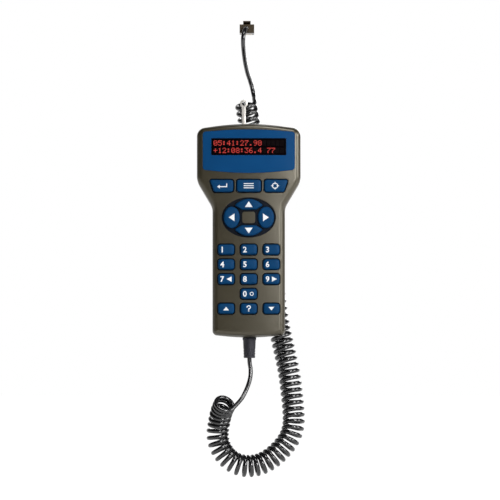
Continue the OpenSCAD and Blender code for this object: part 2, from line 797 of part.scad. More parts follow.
// Route of the upper lead, from the curls to the plug
plug_at = [-1.5, 20, 249];
tail_route = [
    [4.4, 38.7, 194.8], [3.9, 41.1, 197.3], [3.3, 42.6, 200.4], [2.5, 42.8, 203.9], [1.5, 41.7, 207.2],
    [0.5, 39.3, 210.2], [-0.8, 35.4, 213.6], [-2, 30, 218], [-3.1, 23.8, 223.1], [-3.9, 17.6, 228.4],
    [-4.4, 12.4, 233.2], [-4.6, 9.4, 237], [-4.5, 8.4, 240.6], [-4, 9.2, 244.1], [-3.2, 11.7, 247],
    [-2.3, 15.4, 248.8], plug_at
];

// Point and direction on a smooth curve through the route's points
function past_end(r) = let (n = len(r)) 2 * r[n - 1] - r[n - 2];
function at_end(r, i) = i < 0 ? 2 * r[0] - r[1] : i >= len(r) ? past_end(r) : r[i];
function along(r, t) = let (
        i = min(floor(t), len(r) - 2),
        u = t - i,
        a = at_end(r, i - 1),
        b = r[i],
        c = r[i + 1],
        d = at_end(r, i + 2)
    ) b + u / 2 * (c - a + u * (2 * a - 5 * b + 4 * c - d + u * (3 * b - a - 3 * c + d)));
nudge = 0.001;
function heading(r, t) = unit(along(r, min(t + nudge, len(r) - 1)) - along(r, max(t - nudge, 0)));

// Curls counted along the route, with the wanted pitch at each place
route_steps = 12;
route_last = (len(curl_route) - 1) * route_steps;
function pitch_at(t) = t <= close_to ? curl_pitch : curl_slack_pitch;
curl_counts = [
    for (i = 0, q = 0; i <= route_last;
        q = q + norm(along(curl_route, (i + 1) / route_steps) - along(curl_route, i / route_steps))
                / pitch_at((i + 0.5) / route_steps),
        i = i + 1) [q, i / route_steps]
];
// Where on its turn the wire starts, and the part of a turn that brings its far end to the right
curl_start = 105;
curl_part = 0.46;
curl_wanted = curl_counts[route_last][0];
curl_turns = round(curl_wanted - curl_part) + curl_part;
curl_r = (curl_od - wire_d) / 2;
function curl_point(q) = let (
        t = lookup(q * curl_wanted / curl_turns, curl_counts),
        h = heading(curl_route, t),
        n = unit([0, 1, 0] - h[1] * h),
        a = curl_start + 360 * q
    ) along(curl_route, t) + curl_r * (cos(a) * n + sin(a) * cross(h, n));
curl_rings = 8;
curl_last = round(curl_turns * curl_rings);
curl_points = [for (k = [0:curl_last]) curl_point(k * curl_turns / curl_last)];

// The wire runs straight for one diameter at both ends of the curls
curl_out = unit(curl_point(0) - curl_point(nudge));
curl_up = unit(curl_point(curl_turns) - curl_point(curl_turns - nudge));
curl_low_end = curl_points[0] + wire_d * curl_out;
curl_high_end = curl_points[curl_last] + wire_d * curl_up;
curl_wire = concat([curl_low_end], curl_points, [curl_high_end]);

// Least gap of the curls to themselves, from every point to the wire one turn on
function to_segment(p, a, b) = let (
        d = b - a,
        u = max(0, min(1, (p - a) * d / (d * d)))
    ) norm(p - a - u * d);
curl_gap = min([
    for (k = [0:curl_last - curl_rings - 3], j = [k + curl_rings - 3:k + curl_rings + 2])
        to_segment(curl_points[k], curl_points[j], curl_points[j + 1])
]) - wire_d;
function total(v) = v * [for (x = v) 1];
function wire_length(p) = total([for (i = [1:len(p) - 1]) norm(p[i] - p[i - 1])]);

// Tube round a line of points: a ring of points at each, square to the line
function line_heading(p, i) = unit(p[min(i + 1, len(p) - 1)] - p[max(i - 1, 0)]);
module tube(line, side, sides, first, final) {
    last = len(line) - 1;
    points = [
        for (i = [0:last])
            let (
                h = i == 0 ? first : i == last ? final : line_heading(line, i),
                s = side[min(i, len(side) - 1)],
                n = unit(s - (s * h) * h),
                b = cross(h, n)
            ) each [
                for (k = [0:sides - 1])
                    let (a = 360 * k / sides)
                        line[i] + wire_d / 2 * (cos(a) * n + sin(a) * b)
            ]
    ];
    caps = [[for (i = [sides - 1:-1:0]) i], [for (i = [0:sides - 1]) last * sides + i]];
    polyhedron(points, flipped(concat(tube_sides(last + 1, sides), caps)), convexity = 12);
}
lead_sides = 8;
lead_steps = 2;
function smooth_line(r) = [for (i = [0:(len(r) - 1) * lead_steps]) along(r, i / lead_steps)];
lead_line = smooth_line(concat(lead_route, [curl_low_end]));
tail_line = smooth_line(concat([curl_high_end], tail_route));
echo(curls = curl_turns, curl_least_gap = curl_gap);
echo(cord_length = wire_length(lead_line) + wire_length(curl_wire) + wire_length(tail_line));

module cord_lead() color(dark) in_case() tube(lead_line, [[0, 1, 0]], lead_sides, [0, 0, -1], -curl_out);
module cord_curl() color(dark) in_case() {
    middle = [for (k = [0:curl_last]) along(curl_route, lookup(k * curl_wanted / curl_last, curl_counts))];
    spokes = [for (k = [0:curl_last]) curl_points[k] - middle[k]];
    sides = concat([spokes[0]], spokes, [spokes[curl_last]]);
    tube(curl_wire, sides, 6, -curl_out, curl_up);
}
module cord_tail() color(dark) in_case() tube(tail_line, [[1, 0, 0]], lead_sides, curl_up, [0, 1, 0]);

// Plug at the far end of the cord, nose towards the back, with its latch on top
latch_t = 1;
latch_w = 6;
latch_rise = 2;
latch_back = 2;
latch_side = [
    [0, plug_len],
    [0, plug_len - 2 * latch_t],
    [-latch_rise, latch_back],
    [-latch_rise - latch_t, latch_back],
    [-latch_t, plug_len]
];
module plug_latch() {
    translate([-latch_w / 2, -plug_h / 2, 0]) rotate([90, 0, 90]) linear_extrude(latch_w) polygon(latch_side);
}
module at_plug() in_case() translate(plug_at) rotate([-90, 0, 0]) children();
module cord_plug() color("gray") at_plug() {
    plug_body();
    plug_latch();
}
module cord_plug_contacts() color(gold) at_plug() plug_blades(0);

// Every key by its own name
module key_return() key("key_return");
module key_menu() key("key_menu");
module key_go() key("key_go");
module key_arrow_up() key("key_arrow_up");
module key_arrow_down() key("key_arrow_down");
module key_arrow_left() key("key_arrow_left");
module key_arrow_right() key("key_arrow_right");
module key_0() key("key_0");
module key_1() key("key_1");
module key_2() key("key_2");
module key_3() key("key_3");
module key_4() key("key_4");
module key_5() key("key_5");
module key_6() key("key_6");
module key_7() key("key_7");
module key_8() key("key_8");
module key_9() key("key_9");
module key_scroll_up() key("key_scroll_up");
module key_help() key("key_help");
module key_scroll_down() key("key_scroll_down");

front_cover();
rear_cover();
display_panel();
display_window();
display_frame();
display_glass();
backlight();
display_board();
display_link();
main_board();
keypad_mat();
contact_pads();
processor_chip();
memory_chip();
crystal();
capacitors();
regulator();
beeper();
cord_jack();
jack_contacts();
handset_plug();
handset_plug_contacts();
case_screws();
board_screws();
hanger();
cord_boot();
cord_lead();
cord_curl();
cord_tail();
cord_plug();
cord_plug_contacts();
key_return();
key_menu();
key_go();
key_arrow_up();
key_arrow_down();
key_arrow_left();
key_arrow_right();
key_0();
key_1();
key_2();
key_3();
key_4();
key_5();
key_6();
key_7();
key_8();
key_9();
key_scroll_up();
key_help();
key_scroll_down();
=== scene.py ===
"""Looks of a hand controller that hangs by an eye: moulded case, keypad, red display and curly cord."""

import math

import bmesh
import bpy
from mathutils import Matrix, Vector


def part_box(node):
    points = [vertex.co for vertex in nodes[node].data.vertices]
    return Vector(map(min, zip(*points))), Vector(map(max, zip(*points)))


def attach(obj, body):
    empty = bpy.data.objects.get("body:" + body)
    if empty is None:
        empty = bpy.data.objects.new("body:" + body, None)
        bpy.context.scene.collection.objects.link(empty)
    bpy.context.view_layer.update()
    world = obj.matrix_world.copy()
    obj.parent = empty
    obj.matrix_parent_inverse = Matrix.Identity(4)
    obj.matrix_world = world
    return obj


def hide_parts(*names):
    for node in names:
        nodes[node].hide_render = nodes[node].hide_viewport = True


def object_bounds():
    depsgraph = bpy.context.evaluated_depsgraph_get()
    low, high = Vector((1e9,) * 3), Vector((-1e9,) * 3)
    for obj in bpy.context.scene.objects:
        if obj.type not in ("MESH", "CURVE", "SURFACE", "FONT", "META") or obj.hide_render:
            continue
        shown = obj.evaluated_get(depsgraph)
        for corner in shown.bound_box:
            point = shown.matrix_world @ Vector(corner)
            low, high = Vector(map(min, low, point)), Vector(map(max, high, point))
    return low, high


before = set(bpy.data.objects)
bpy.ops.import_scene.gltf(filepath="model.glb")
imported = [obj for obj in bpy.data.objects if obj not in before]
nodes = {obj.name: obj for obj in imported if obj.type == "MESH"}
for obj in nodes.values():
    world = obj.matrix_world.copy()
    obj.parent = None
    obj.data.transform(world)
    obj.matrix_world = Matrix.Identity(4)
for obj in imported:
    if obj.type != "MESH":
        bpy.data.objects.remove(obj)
cad_low, cad_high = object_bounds()

# Sizes in millimetres: x from the case's middle, depth behind the front face, z above the bottom edge
MM = 0.001
CASE_H, CASE_T = 171, 30
HEAD_W, HANDLE_W = 83, 58
FRONT_T = 15
WALL = 2.2
TOP_RISE, BOTTOM_DROP = 4, 2
HEAD_R, FOOT_R, SHOULDER_R, LEAST_R = 7, 3.5, 14, 0.5
FRONT_R, REAR_R = 4.5, 5
SHOULDER_LOW, SHOULDER_HIGH = 104, 125
BOW_SHARE = 0.7
SEAM = 0.3
CROWN, HANDLE_CROWN_R, HEAD_CROWN_R = 1.8, 270, 385
CROWN_DEPTH, CROWN_GRID, CROWN_COLUMNS, CROWN_ROWS = 1, 2, 20, 12
CUT_PAST = 1

PANEL_W, PANEL_H, PANEL_Z = 73.6, 30.4, 149.2
PANEL_TOP_BULGE, PANEL_LOW_BULGE = 1.8, 2.6
PANEL_R, PANEL_T, PANEL_GAP, PANEL_HOLE_R, PANEL_HOLE_LIP = 2.6, 0.6, 0.15, 0.8, 0.12
WINDOW_W, WINDOW_H, WINDOW_Z = 60, 13.6, 152.4
WINDOW_HOLE_R, WINDOW_LIP = 0.5, 0.05
LENS_T, LENS_RIM, LENS_R = 1, 1.2, 0.7

KEY_GAP = 0.3
KEY_W, KEY_H, KEY_R = 13, 8.2, 2.2
KEY_LIP, ARROW_LIP = 0.6, 0.12
KEY_FILLET, KEY_EDGE, KEY_SIDE, KEY_DOME = 1.1, 1.45, 1.25, 0.6
KEY_DX, KEY_DZ, KEY_Z = 18.1, 11.8, 22.8
TOP_KEY_W, TOP_KEY_H, TOP_KEY_Z = 19.5, 9.8, 121
TOP_KEY_FROM, TOP_KEY_OUTER, TOP_KEY_SLANT, TOP_KEY_R = 12.35, 31.4, 3.4, 1.3
PAD_W, PAD_H, PAD_Z = 41, 29.8, 95.7
PAD_RIM, PAD_RECESS = 0.8, 0.6
ISLAND_W, ISLAND_H = 10.8, 9.6
SIDE_ARROW_W, SIDE_ARROW_H, SIDE_ARROW_X = 13, 17.2, 13.7
ARROW_HALF_W, ARROW_INNER, ARROW_END = 11.4, 6.2, 9.6
ARROW_CROWN_Z, ARROW_CROWN_R, ARROW_INNER_R, ARROW_TIP_R = 19.9, 14.5, 1.5, 0.9
TAB_REACH, TAB_T, TAB_W, STEM_R = 1.2, 1, 6, 1.5
TAB_Y = WALL + KEY_GAP
STEM_END = 5.4
TOP_STEM_X = (TOP_KEY_FROM + TOP_KEY_OUTER - TOP_KEY_SLANT) / 2

BOSS_R, SCREW_R, SCREW_HEAD_R, SCREW_HEAD_H, SCREW_SINK, SCREW_BITE = 3, 1.4, 2.3, 1.8, 6, 6
SCREW_TIP, SCREW_TIP_R = 1.6, 0.3
SCREW_GAP, SCREW_HOLE, SCREW_MOUTH = 0.1, 3, 0.5
CROSS_L, CROSS_W, CROSS_DEPTH = 1.3, 0.28, 1
BOSS_SPOTS = [(-KEY_DX, 34.6), (KEY_DX, 34.6), (-37.1, 129.2), (37.1, 129.2)]

HANGER_X, HANGER_W, HANGER_T = -4, 3.2, 1.2
HANGER_EDGE, HANGER_EDGE_MID = 0.2, 0.06
EYE_Z, EYE_R, EYE_RIM = 188, 1.6, 1.5
HANGER_FOOT_W, HANGER_FOOT_H, HANGER_FOOT_Z = 9, 2.2, 166.1

WIRE_D, CURL_OD = 3.5, 18.3
CURL_R = (CURL_OD - WIRE_D) / 2
CURL_TOUCH, CURL_PITCH, CURL_SLACK_PITCH = 1.01, 5.1, 5.7
BOOT_X, BOOT_D, BOOT_TIP_D, BOOT_LEN = 0.5, 11, 9.2, 16.5
BOOT_LIP, BOOT_STEP, BOOT_TIP_EDGE = 2, 0.4, 0.5
BOOT_GROOVES = (2.4, 4.6, 6.8)
GROOVE = ((-0.5, 0), (-0.3, 0.2), (0.3, 0.2), (0.5, 0))
PLUG_W, PLUG_H, MOUTH_GAP, PLUG_EDGE = 11.7, 7, 0.4, 0.25

# Place of the case in the frame
case_low, case_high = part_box("front_cover")
CASE_X = (case_low.x + case_high.x) / 2
FACE_Y = case_low.y
FOOT_Z = case_low.z


def place(x, depth, z):
    """Frame point of a place on the case."""
    return Vector((CASE_X + x * MM, FACE_Y + depth * MM, FOOT_Z + z * MM))


# Outlines, as lists of x and z
def corner_arc(before, at, after, r, steps):
    """Points of the arc of radius r that rounds a corner."""
    p = Vector(at)
    u = (Vector(before) - p).normalized()
    v = (Vector(after) - p).normalized()
    half = math.acos(max(-1, min(1, u.dot(v)))) / 2
    centre = p + (u + v).normalized() * (r / math.sin(half))
    first = p + u * (r / math.tan(half)) - centre
    turn = (-1 if u.x * v.y - u.y * v.x > 0 else 1) * (math.pi - 2 * half)
    arc = []
    for i in range(steps + 1):
        a = turn * i / steps
        x = first.x * math.cos(a) - first.y * math.sin(a)
        z = first.x * math.sin(a) + first.y * math.cos(a)
        arc.append(centre + Vector((x, z)))
    return arc


def rounded(corners):
    """Outline with every corner, given as x, z, radius and steps, rounded."""
    points = []
    for i, (x, z, r, steps) in enumerate(corners):
        before = corners[i - 1][:2]
        after = corners[(i + 1) % len(corners)][:2]
        points += corner_arc(before, (x, z), after, r, steps)
    return points


def inset(points, d):
    """The same outline drawn inwards by d."""
    moved = []
    for i, p in enumerate(points):
        a = (p - points[i - 1]).normalized()
        b = (points[(i + 1) % len(points)] - p).normalized()
        na = Vector((-a.y, a.x))
        nb = Vector((-b.y, b.x))
        moved.append(p + (na + nb) * (d / (1 + na.dot(nb))))
    return moved


def shifted(points, x, z):
    """The outline moved to x and z."""
    return [p + Vector((x, z)) for p in points]


def even(points, step=0.8):
    """The same outline with more points on its long edges."""
    found = []
    for i, p in enumerate(points):
        after = points[(i + 1) % len(points)]
        parts = max(1, round((after - p).length / step))
        found += [p.lerp(after, k / parts) for k in range(parts)]
    return found


def round_rect(w, h, r, steps=8):
    """Rectangle about its middle with round corners."""
    x, z = w / 2, h / 2
    return rounded([(-x, -z, r, steps), (x, -z, r, steps), (x, z, r, steps), (-x, z, r, steps)])


def ellipse(w, h, steps=72):
    """Ellipse about its middle."""
    turns = [2 * math.pi * i / steps for i in range(steps)]
    return [Vector((w / 2 * math.cos(a), h / 2 * math.sin(a))) for a in turns]


def bow_h(rise):
    """Height of the corner whose wide arc makes a bowed edge of that rise."""
    return rise / (1 - BOW_SHARE / 2)


def bow_r(half, rise):
    """Radius of that arc on an edge of that half width."""
    return BOW_SHARE * half / math.sin(math.atan(bow_h(rise) / half))


def case_corners():
    """Corners of the case, counter-clockwise from its bottom middle."""
    side = [
        (HANDLE_W / 2, BOTTOM_DROP, FOOT_R, 12),
        (HANDLE_W / 2, SHOULDER_LOW, SHOULDER_R, 8),
        (HEAD_W / 2, SHOULDER_HIGH, SHOULDER_R, 8),
        (HEAD_W / 2, CASE_H - TOP_RISE, HEAD_R, 14),
    ]
    bottom = (0, BOTTOM_DROP - bow_h(BOTTOM_DROP), bow_r(HANDLE_W / 2, BOTTOM_DROP), 16)
    top = (0, CASE_H - TOP_RISE + bow_h(TOP_RISE), bow_r(HEAD_W / 2, TOP_RISE), 24)
    other = [(-x, z, r, steps) for x, z, r, steps in reversed(side)]
    return [bottom, *side, top, *other]


def case_in(d):
    """Outline of the case drawn in by d: hollow corners widen, and others tighten to a least radius."""
    corners = case_corners()
    at = [Vector(corner[:2]) for corner in corners]
    found = []
    for i, (p, (_, _, r, steps)) in enumerate(zip(inset(at, d), corners)):
        a = at[i] - at[i - 1]
        b = at[(i + 1) % len(at)] - at[i]
        hollow = a.x * b.y - a.y * b.x < 0
        found.append((p.x, p.y, r + d if hollow else max(r - d, LEAST_R), steps))
    return rounded(found)


def panel_outline():
    """Outline of the display panel, with bowed upper and lower edges."""
    x = PANEL_W / 2
    low, high = PANEL_Z - PANEL_H / 2, PANEL_Z + PANEL_H / 2
    return rounded([
        (0, low - bow_h(PANEL_LOW_BULGE), bow_r(x, PANEL_LOW_BULGE), 20),
        (x, low, PANEL_R, 10),
        (x, high, PANEL_R, 10),
        (0, high + bow_h(PANEL_TOP_BULGE), bow_r(x, PANEL_TOP_BULGE), 20),
        (-x, high, PANEL_R, 10),
        (-x, low, PANEL_R, 10),
    ])


PANEL = panel_outline()


# Meshes
SHARP_ANGLE = math.radians(32)


def add_object(name, data):
    """New object in the scene."""
    made = bpy.data.objects.new(name, data)
    bpy.context.scene.collection.objects.link(made)
    return made


def link(name, mesh, *materials):
    """New object with smooth faces and sharp edges where faces meet at an angle."""
    for material in materials:
        mesh.materials.append(material)
    mesh.shade_smooth()
    mesh.set_sharp_from_angle(angle=SHARP_ANGLE)
    return add_object(name, mesh)


def to_mesh(bm, name):
    """Mesh of a bmesh whose faces all look outwards."""
    bmesh.ops.recalc_face_normals(bm, faces=bm.faces)
    mesh = bpy.data.meshes.new(name)
    bm.to_mesh(mesh)
    bm.free()
    return mesh


def add_rings(bm, rings, closed=False):
    """Faces through rings of frame points, with flat caps at the ends or closed on itself."""
    loops = [[bm.verts.new(p) for p in ring] for ring in rings]
    pairs = list(zip(loops, loops[1:]))
    if closed:
        pairs.append((loops[-1], loops[0]))
    for a, b in pairs:
        for i in range(len(a)):
            j = (i + 1) % len(a)
            bm.faces.new((a[i], a[j], b[j], b[i]))
    if not closed:
        bm.faces.new(loops[0])
        bm.faces.new(loops[-1])


def layers(outline, steps):
    """Rings of an outline at depths, each drawn in by its own amount."""
    return [[place(p.x, depth, p.y) for p in inset(outline, d)] for depth, d in steps]


def case_layers(steps):
    """Rings of the case's outline at depths, each drawn in by its own amount."""
    return [[place(p.x, depth, p.y) for p in case_in(d)] for depth, d in steps]


def lathe(bm, x, depth, profile, along="y", sides=40, closed=False):
    """Round solid about an axis through x and depth (or z), from pairs of radius and place."""
    rings = []
    for r, t in profile:
        ring = []
        for i in range(sides):
            a = 2 * math.pi * i / sides
            u, v = r * math.cos(a), r * math.sin(a)
            ring.append(place(x + u, depth + v, t) if along == "z" else place(x + u, t, depth + v))
        rings.append(ring)
    add_rings(bm, rings, closed)


def add_box(bm, low, high):
    """Box between two corners on the case."""
    x0, y0, z0 = low
    x1, y1, z1 = high
    ends = [[place(x0, y, z0), place(x1, y, z0), place(x1, y, z1), place(x0, y, z1)] for y in (y0, y1)]
    add_rings(bm, ends)


def cut(piece, bm, slot=0):
    """Takes the solids of a bmesh out of a piece, and gives the new faces one of its materials."""
    for face in bm.faces:
        face.material_index = slot
    cutter = link("cutter", to_mesh(bm, "cutter"), *piece.data.materials)
    step = piece.modifiers.new("cut", "BOOLEAN")
    step.operation = "DIFFERENCE"
    step.solver = "EXACT"
    step.object = cutter
    graph = bpy.context.evaluated_depsgraph_get()
    mesh = bpy.data.meshes.new_from_object(piece.evaluated_get(graph))
    piece.modifiers.clear()
    piece.data = mesh
    mesh.shade_smooth()
    mesh.set_sharp_from_angle(angle=SHARP_ANGLE)
    bpy.data.objects.remove(cutter)


def even_shade(piece):
    """Keeps flat faces flat beside round edges."""
    step = piece.modifiers.new("even_shade", "WEIGHTED_NORMAL")
    step.keep_sharp = True
    step.weight = 100


# Materials
def srgb(r, g, b):
    """Colour given by its eight-bit values."""
    def linear(v):
        """Linear value of one channel."""
        v /= 255
        return v / 12.92 if v <= 0.04045 else ((v + 0.055) / 1.055) ** 2.4
    return (linear(r), linear(g), linear(b), 1)


def scaled(colour, k):
    """The colour made darker or lighter."""
    return tuple(min(1, c * k) for c in colour[:3]) + (1,)


def joined(tree, operation, a, b):
    """Two values joined by an operation."""
    made = tree.nodes.new("ShaderNodeMath")
    made.operation = operation
    tree.links.new(a, made.inputs[0])
    tree.links.new(b, made.inputs[1])
    return made.outputs[0]


def larger(tree, a, b):
    """The larger of two values."""
    return joined(tree, "MAXIMUM", a, b)


def product(tree, a, b):
    """The product of two values."""
    return joined(tree, "MULTIPLY", a, b)


def ranged(tree, value, start, end, low, high):
    """A value between start and end brought between low and high."""
    made = tree.nodes.new("ShaderNodeMapRange")
    made.inputs["From Min"].default_value = start
    made.inputs["From Max"].default_value = end
    made.inputs["To Min"].default_value = low
    made.inputs["To Max"].default_value = high
    tree.links.new(value, made.inputs["Value"])
    return made.outputs["Result"]


NOISE_LOW, NOISE_HIGH, NOISE_ROUGH = 0.3, 0.7, 0.55
PATCHES, PATCH_DETAIL, GRAIN_DETAIL, GLOW_DETAIL = 45, 4, 2, 3
GLOSS_SPREAD, GRAIN_STRENGTH = 0.07, 0.5
COAT_ROUGH = 0.12
WARM_WHITE = (1, 0.94, 0.8, 1)
GLOW_GRAIN, GLOW_LEAST, GLOW_UNLIT = 400, 0.85, 0.4


class Nodes:
    """Nodes of a new material, linked to its Principled shader."""

    def __init__(self, name):
        self.material = bpy.data.materials.new(name)
        self.material.use_nodes = True
        self.tree = self.material.node_tree
        self.shader = self.tree.nodes["Principled BSDF"]
        self.place = self.add("ShaderNodeTexCoord").outputs["Object"]

    def add(self, kind, **values):
        """New node with some of its inputs set."""
        made = self.tree.nodes.new(kind)
        for key, value in values.items():
            made.inputs[key].default_value = value
        return made

    def link(self, out, into):
        """Joins an output to an input."""
        self.tree.links.new(out, into)

    def noise(self, scale, detail):
        """Noise over the piece, in turns per metre."""
        made = self.add("ShaderNodeTexNoise", Scale=scale, Detail=detail, Roughness=NOISE_ROUGH)
        self.link(self.place, made.inputs["Vector"])
        return made.outputs["Fac"]

    def blend(self, value, low, high):
        """Colour from low to high over the middle of a noise's range."""
        made = self.tree.nodes.new("ShaderNodeValToRGB")
        for i, (at, colour) in enumerate(((NOISE_LOW, low), (NOISE_HIGH, high))):
            made.color_ramp.elements[i].position = at
            made.color_ramp.elements[i].color = colour
        self.link(value, made.inputs["Fac"])
        return made.outputs["Color"]

    def bump(self, height, strength, distance):
        """Bump on the shader's normal."""
        made = self.add("ShaderNodeBump", Strength=strength, Distance=distance)
        self.link(height, made.inputs["Height"])
        self.link(made.outputs["Normal"], self.shader.inputs["Normal"])


def moulded(
    name, colour, rough, grain=2600, depth=0.05, spread=0.1, specular=0.4, coat=0, metal=0, warm=False,
):
    """Moulded or painted surface: fine grain, faint patches of colour and uneven gloss."""
    made = Nodes(name)
    patches = made.noise(PATCHES, PATCH_DETAIL)
    tint = made.blend(patches, scaled(colour, 1 - spread), scaled(colour, 1 + spread))
    made.link(tint, made.shader.inputs["Base Color"])
    grains = made.noise(grain, GRAIN_DETAIL)
    gloss = ranged(made.tree, grains, 0, 1, rough - GLOSS_SPREAD, rough + GLOSS_SPREAD)
    made.link(gloss, made.shader.inputs["Roughness"])
    made.bump(grains, GRAIN_STRENGTH, depth * MM)
    made.shader.inputs["Specular IOR Level"].default_value = specular
    made.shader.inputs["Metallic"].default_value = metal
    if coat:
        made.shader.inputs["Coat Weight"].default_value = coat
        made.shader.inputs["Coat Roughness"].default_value = COAT_ROUGH
    if warm:
        made.shader.inputs["Specular Tint"].default_value = WARM_WHITE
    return made.material


def glowing(name, colour, strength):
    """Lit dots of the display."""
    made = Nodes(name)
    tint = made.blend(made.noise(GLOW_GRAIN, GLOW_DETAIL), scaled(colour, GLOW_LEAST), colour)
    made.link(tint, made.shader.inputs["Emission Color"])
    made.shader.inputs["Base Color"].default_value = scaled(colour, GLOW_UNLIT)
    made.shader.inputs["Emission Strength"].default_value = strength
    return made.material


case_plastic = moulded(
    "case_plastic", srgb(44, 39, 24), 0.32, grain=1900, spread=0.06, specular=1, warm=True,
)
# Dark colour painted on the walls of the key holes and in the arrow pad's recess: painted shade in the
# gaps and the recess
recess_painted_shade = moulded("recess_painted_shade", srgb(12, 18, 28), 0.6, grain=1900, specular=0.1)
key_rubber = moulded(
    "key_rubber", srgb(7, 58, 99), 0.42, grain=2400, depth=0.04, spread=0.08, specular=0.07,
)
panel_film = moulded(
    "panel_film", srgb(15, 66, 113), 0.15, grain=3000, depth=0.01, spread=0.05, specular=0.12,
)
window_pane = moulded("window_pane", srgb(5, 2, 4), 0.1, grain=900, depth=0.004, specular=0.15)
ink = moulded("white_ink", srgb(232, 234, 236), 0.5, depth=0.02, spread=0.03)
lit_dot = glowing("lit_dot", srgb(214, 48, 36), 0.68)
dim_dot = moulded("dim_dot", srgb(11, 4, 5), 0.4, grain=800, specular=0.05)
cord_jacket = moulded(
    "cord_jacket", srgb(7, 7, 11), 0.2, grain=300, depth=0.004, spread=0.12, specular=1,
)
boot_rubber = moulded("boot_rubber", srgb(44, 44, 51), 0.38, grain=2000, specular=0.3)
plug_plastic = moulded("plug_plastic", srgb(56, 46, 30), 0.3, grain=800, depth=0.01)
bright_steel = moulded(
    "bright_steel", srgb(206, 202, 196), 0.32, grain=1200, depth=0.01, spread=0.04, metal=0.4,
)
screw_steel = moulded("screw_steel", srgb(96, 96, 98), 0.35, grain=1500, depth=0.01, metal=1)
gold_plate = moulded("gold_plate", srgb(205, 165, 84), 0.25, grain=1500, depth=0.01, metal=1)
sheet_steel = moulded("sheet_steel", srgb(176, 178, 180), 0.35, grain=1500, depth=0.01, metal=1)
board_resin = moulded("board_resin", srgb(22, 84, 48), 0.4, grain=900, depth=0.02, spread=0.2)
chip_resin = moulded("chip_resin", srgb(24, 24, 26), 0.6)
can_sleeve = moulded("can_sleeve", srgb(28, 34, 70), 0.35, grain=1200, depth=0.02)
link_film = moulded("link_film", srgb(196, 160, 96), 0.4, grain=800, depth=0.02)
mat_rubber = moulded("mat_rubber", srgb(72, 74, 76), 0.65)
glass_pane = moulded("glass_pane", srgb(22, 12, 12), 0.1, grain=600, depth=0.005, coat=0.5)
backlight_film = moulded("backlight_film", srgb(150, 38, 30), 0.5, grain=900)

CAD_LOOKS = {
    "display_frame": sheet_steel, "display_glass": glass_pane, "backlight": backlight_film,
    "display_board": board_resin, "display_link": link_film, "main_board": board_resin,
    "keypad_mat": mat_rubber, "contact_pads": gold_plate, "processor_chip": chip_resin,
    "memory_chip": chip_resin, "crystal": sheet_steel, "capacitors": can_sleeve, "regulator": chip_resin,
    "beeper": chip_resin, "cord_jack": chip_resin, "jack_contacts": gold_plate,
    "handset_plug": plug_plastic, "handset_plug_contacts": gold_plate, "board_screws": screw_steel,
    "cord_plug": plug_plastic, "cord_plug_contacts": gold_plate,
}
for name, material in CAD_LOOKS.items():
    nodes[name].data.materials.clear()
    nodes[name].data.materials.append(material)


def stand_for(piece, node, body="handset"):
    """The piece rides on a body and stands for a node."""
    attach(piece, body)
    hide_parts(node)


# Cord: one wire from the boot through the lower lead, the curls and the upper lead to the plug
CURL_ROUTE = [
    (-18.8, 0.6, -52.8), (-21.6, 8.2, -59), (-23.7, 13.7, -67.7), (-24.9, 16, -78.6),
    (-22.2, 17, -89), (-14.7, 18.4, -98.2), (-4.7, 20.2, -102.8), (6.4, 22.6, -102.5),
    (16.1, 25, -98.3), (25.2, 27.6, -90.8), (32.7, 30.2, -81), (36, 32.5, -70.5),
    (36, 35, -58.8), (34.6, 37, -43.8), (32.8, 39, -29.6), (30, 40.6, -15.4),
    (26.8, 41.4, -1.2), (23.8, 41.5, 13), (19, 41.5, 46), (13, 41.5, 88),
    (7, 41.5, 131), (2.4, 41.5, 162), (0, 39.5, 176), (-2.5, 33, 190),
]
LEAD_ROUTE = [
    (0.5, 15, -16.5), (0.7, 15, -20.5), (1.5, 14.8, -26), (1.2, 14, -32), (-0.4, 12.4, -38),
    (-2.9, 9.6, -44), (-5.9, 6.4, -49.3),
]
TAIL_ROUTE = [
    (4.4, 38.7, 194.8), (3.9, 41.1, 197.3), (3.3, 42.6, 200.4), (2.5, 42.8, 203.9), (1.5, 41.7, 207.2),
    (0.5, 39.3, 210.2), (-0.8, 35.4, 213.6), (-2, 30, 218), (-3.1, 23.8, 223.1), (-3.9, 17.6, 228.4),
    (-4.4, 12.4, 233.2), (-4.6, 9.4, 237), (-4.5, 8.4, 240.6), (-4, 9.2, 244.1), (-3.2, 11.7, 247),
    (-2.3, 15.4, 248.8), (-1.5, 20, 249),
]
# Points of the route where the closest curls end and where the slack ones start
BEND_TO, CLOSE_TO = 7.3, 17
# Angle in degrees of the first curl's start, and the last curl's part of a turn
CURL_START, CURL_PART = 105, 0.46
ROUTE_STEPS, CURL_STEPS, LEAD_STEPS = 12, 24, 6
NUDGE = 0.001


def along(route, t):
    """Point of the smooth curve through a route."""
    last = len(route) - 1
    i = min(int(t), last - 1)
    u = t - i
    b, c = route[i], route[i + 1]
    a = route[i - 1] if i else 2 * b - c
    d = route[i + 2] if i + 2 <= last else 2 * c - b
    return b + u / 2 * (c - a + u * (2 * a - 5 * b + 4 * c - d + u * (3 * b - a - 3 * c + d)))


def heading(route, t):
    """Direction of that curve."""
    return (along(route, min(t + NUDGE, len(route) - 1)) - along(route, max(t - NUDGE, 0))).normalized()


def curl_pitch(route, t):
    """Length of route that one curl takes: the first curls all but touch, and the others stand apart."""
    if t > CLOSE_TO:
        return CURL_SLACK_PITCH
    if t > BEND_TO:
        return CURL_PITCH
    before, after = max(t - 0.5, 0), t + 0.5
    turned = heading(route, before).angle(heading(route, after))
    bend = turned / (along(route, after) - along(route, before)).length
    return CURL_TOUCH * WIRE_D / (1 - CURL_R * bend)


def curl_counts(route):
    """Curls counted up to each step of the route, at the pitch wanted there."""
    counts = [0]
    for i in range((len(route) - 1) * ROUTE_STEPS):
        step = along(route, (i + 1) / ROUTE_STEPS) - along(route, i / ROUTE_STEPS)
        counts.append(counts[-1] + step.length / curl_pitch(route, (i + 0.5) / ROUTE_STEPS))
    return counts


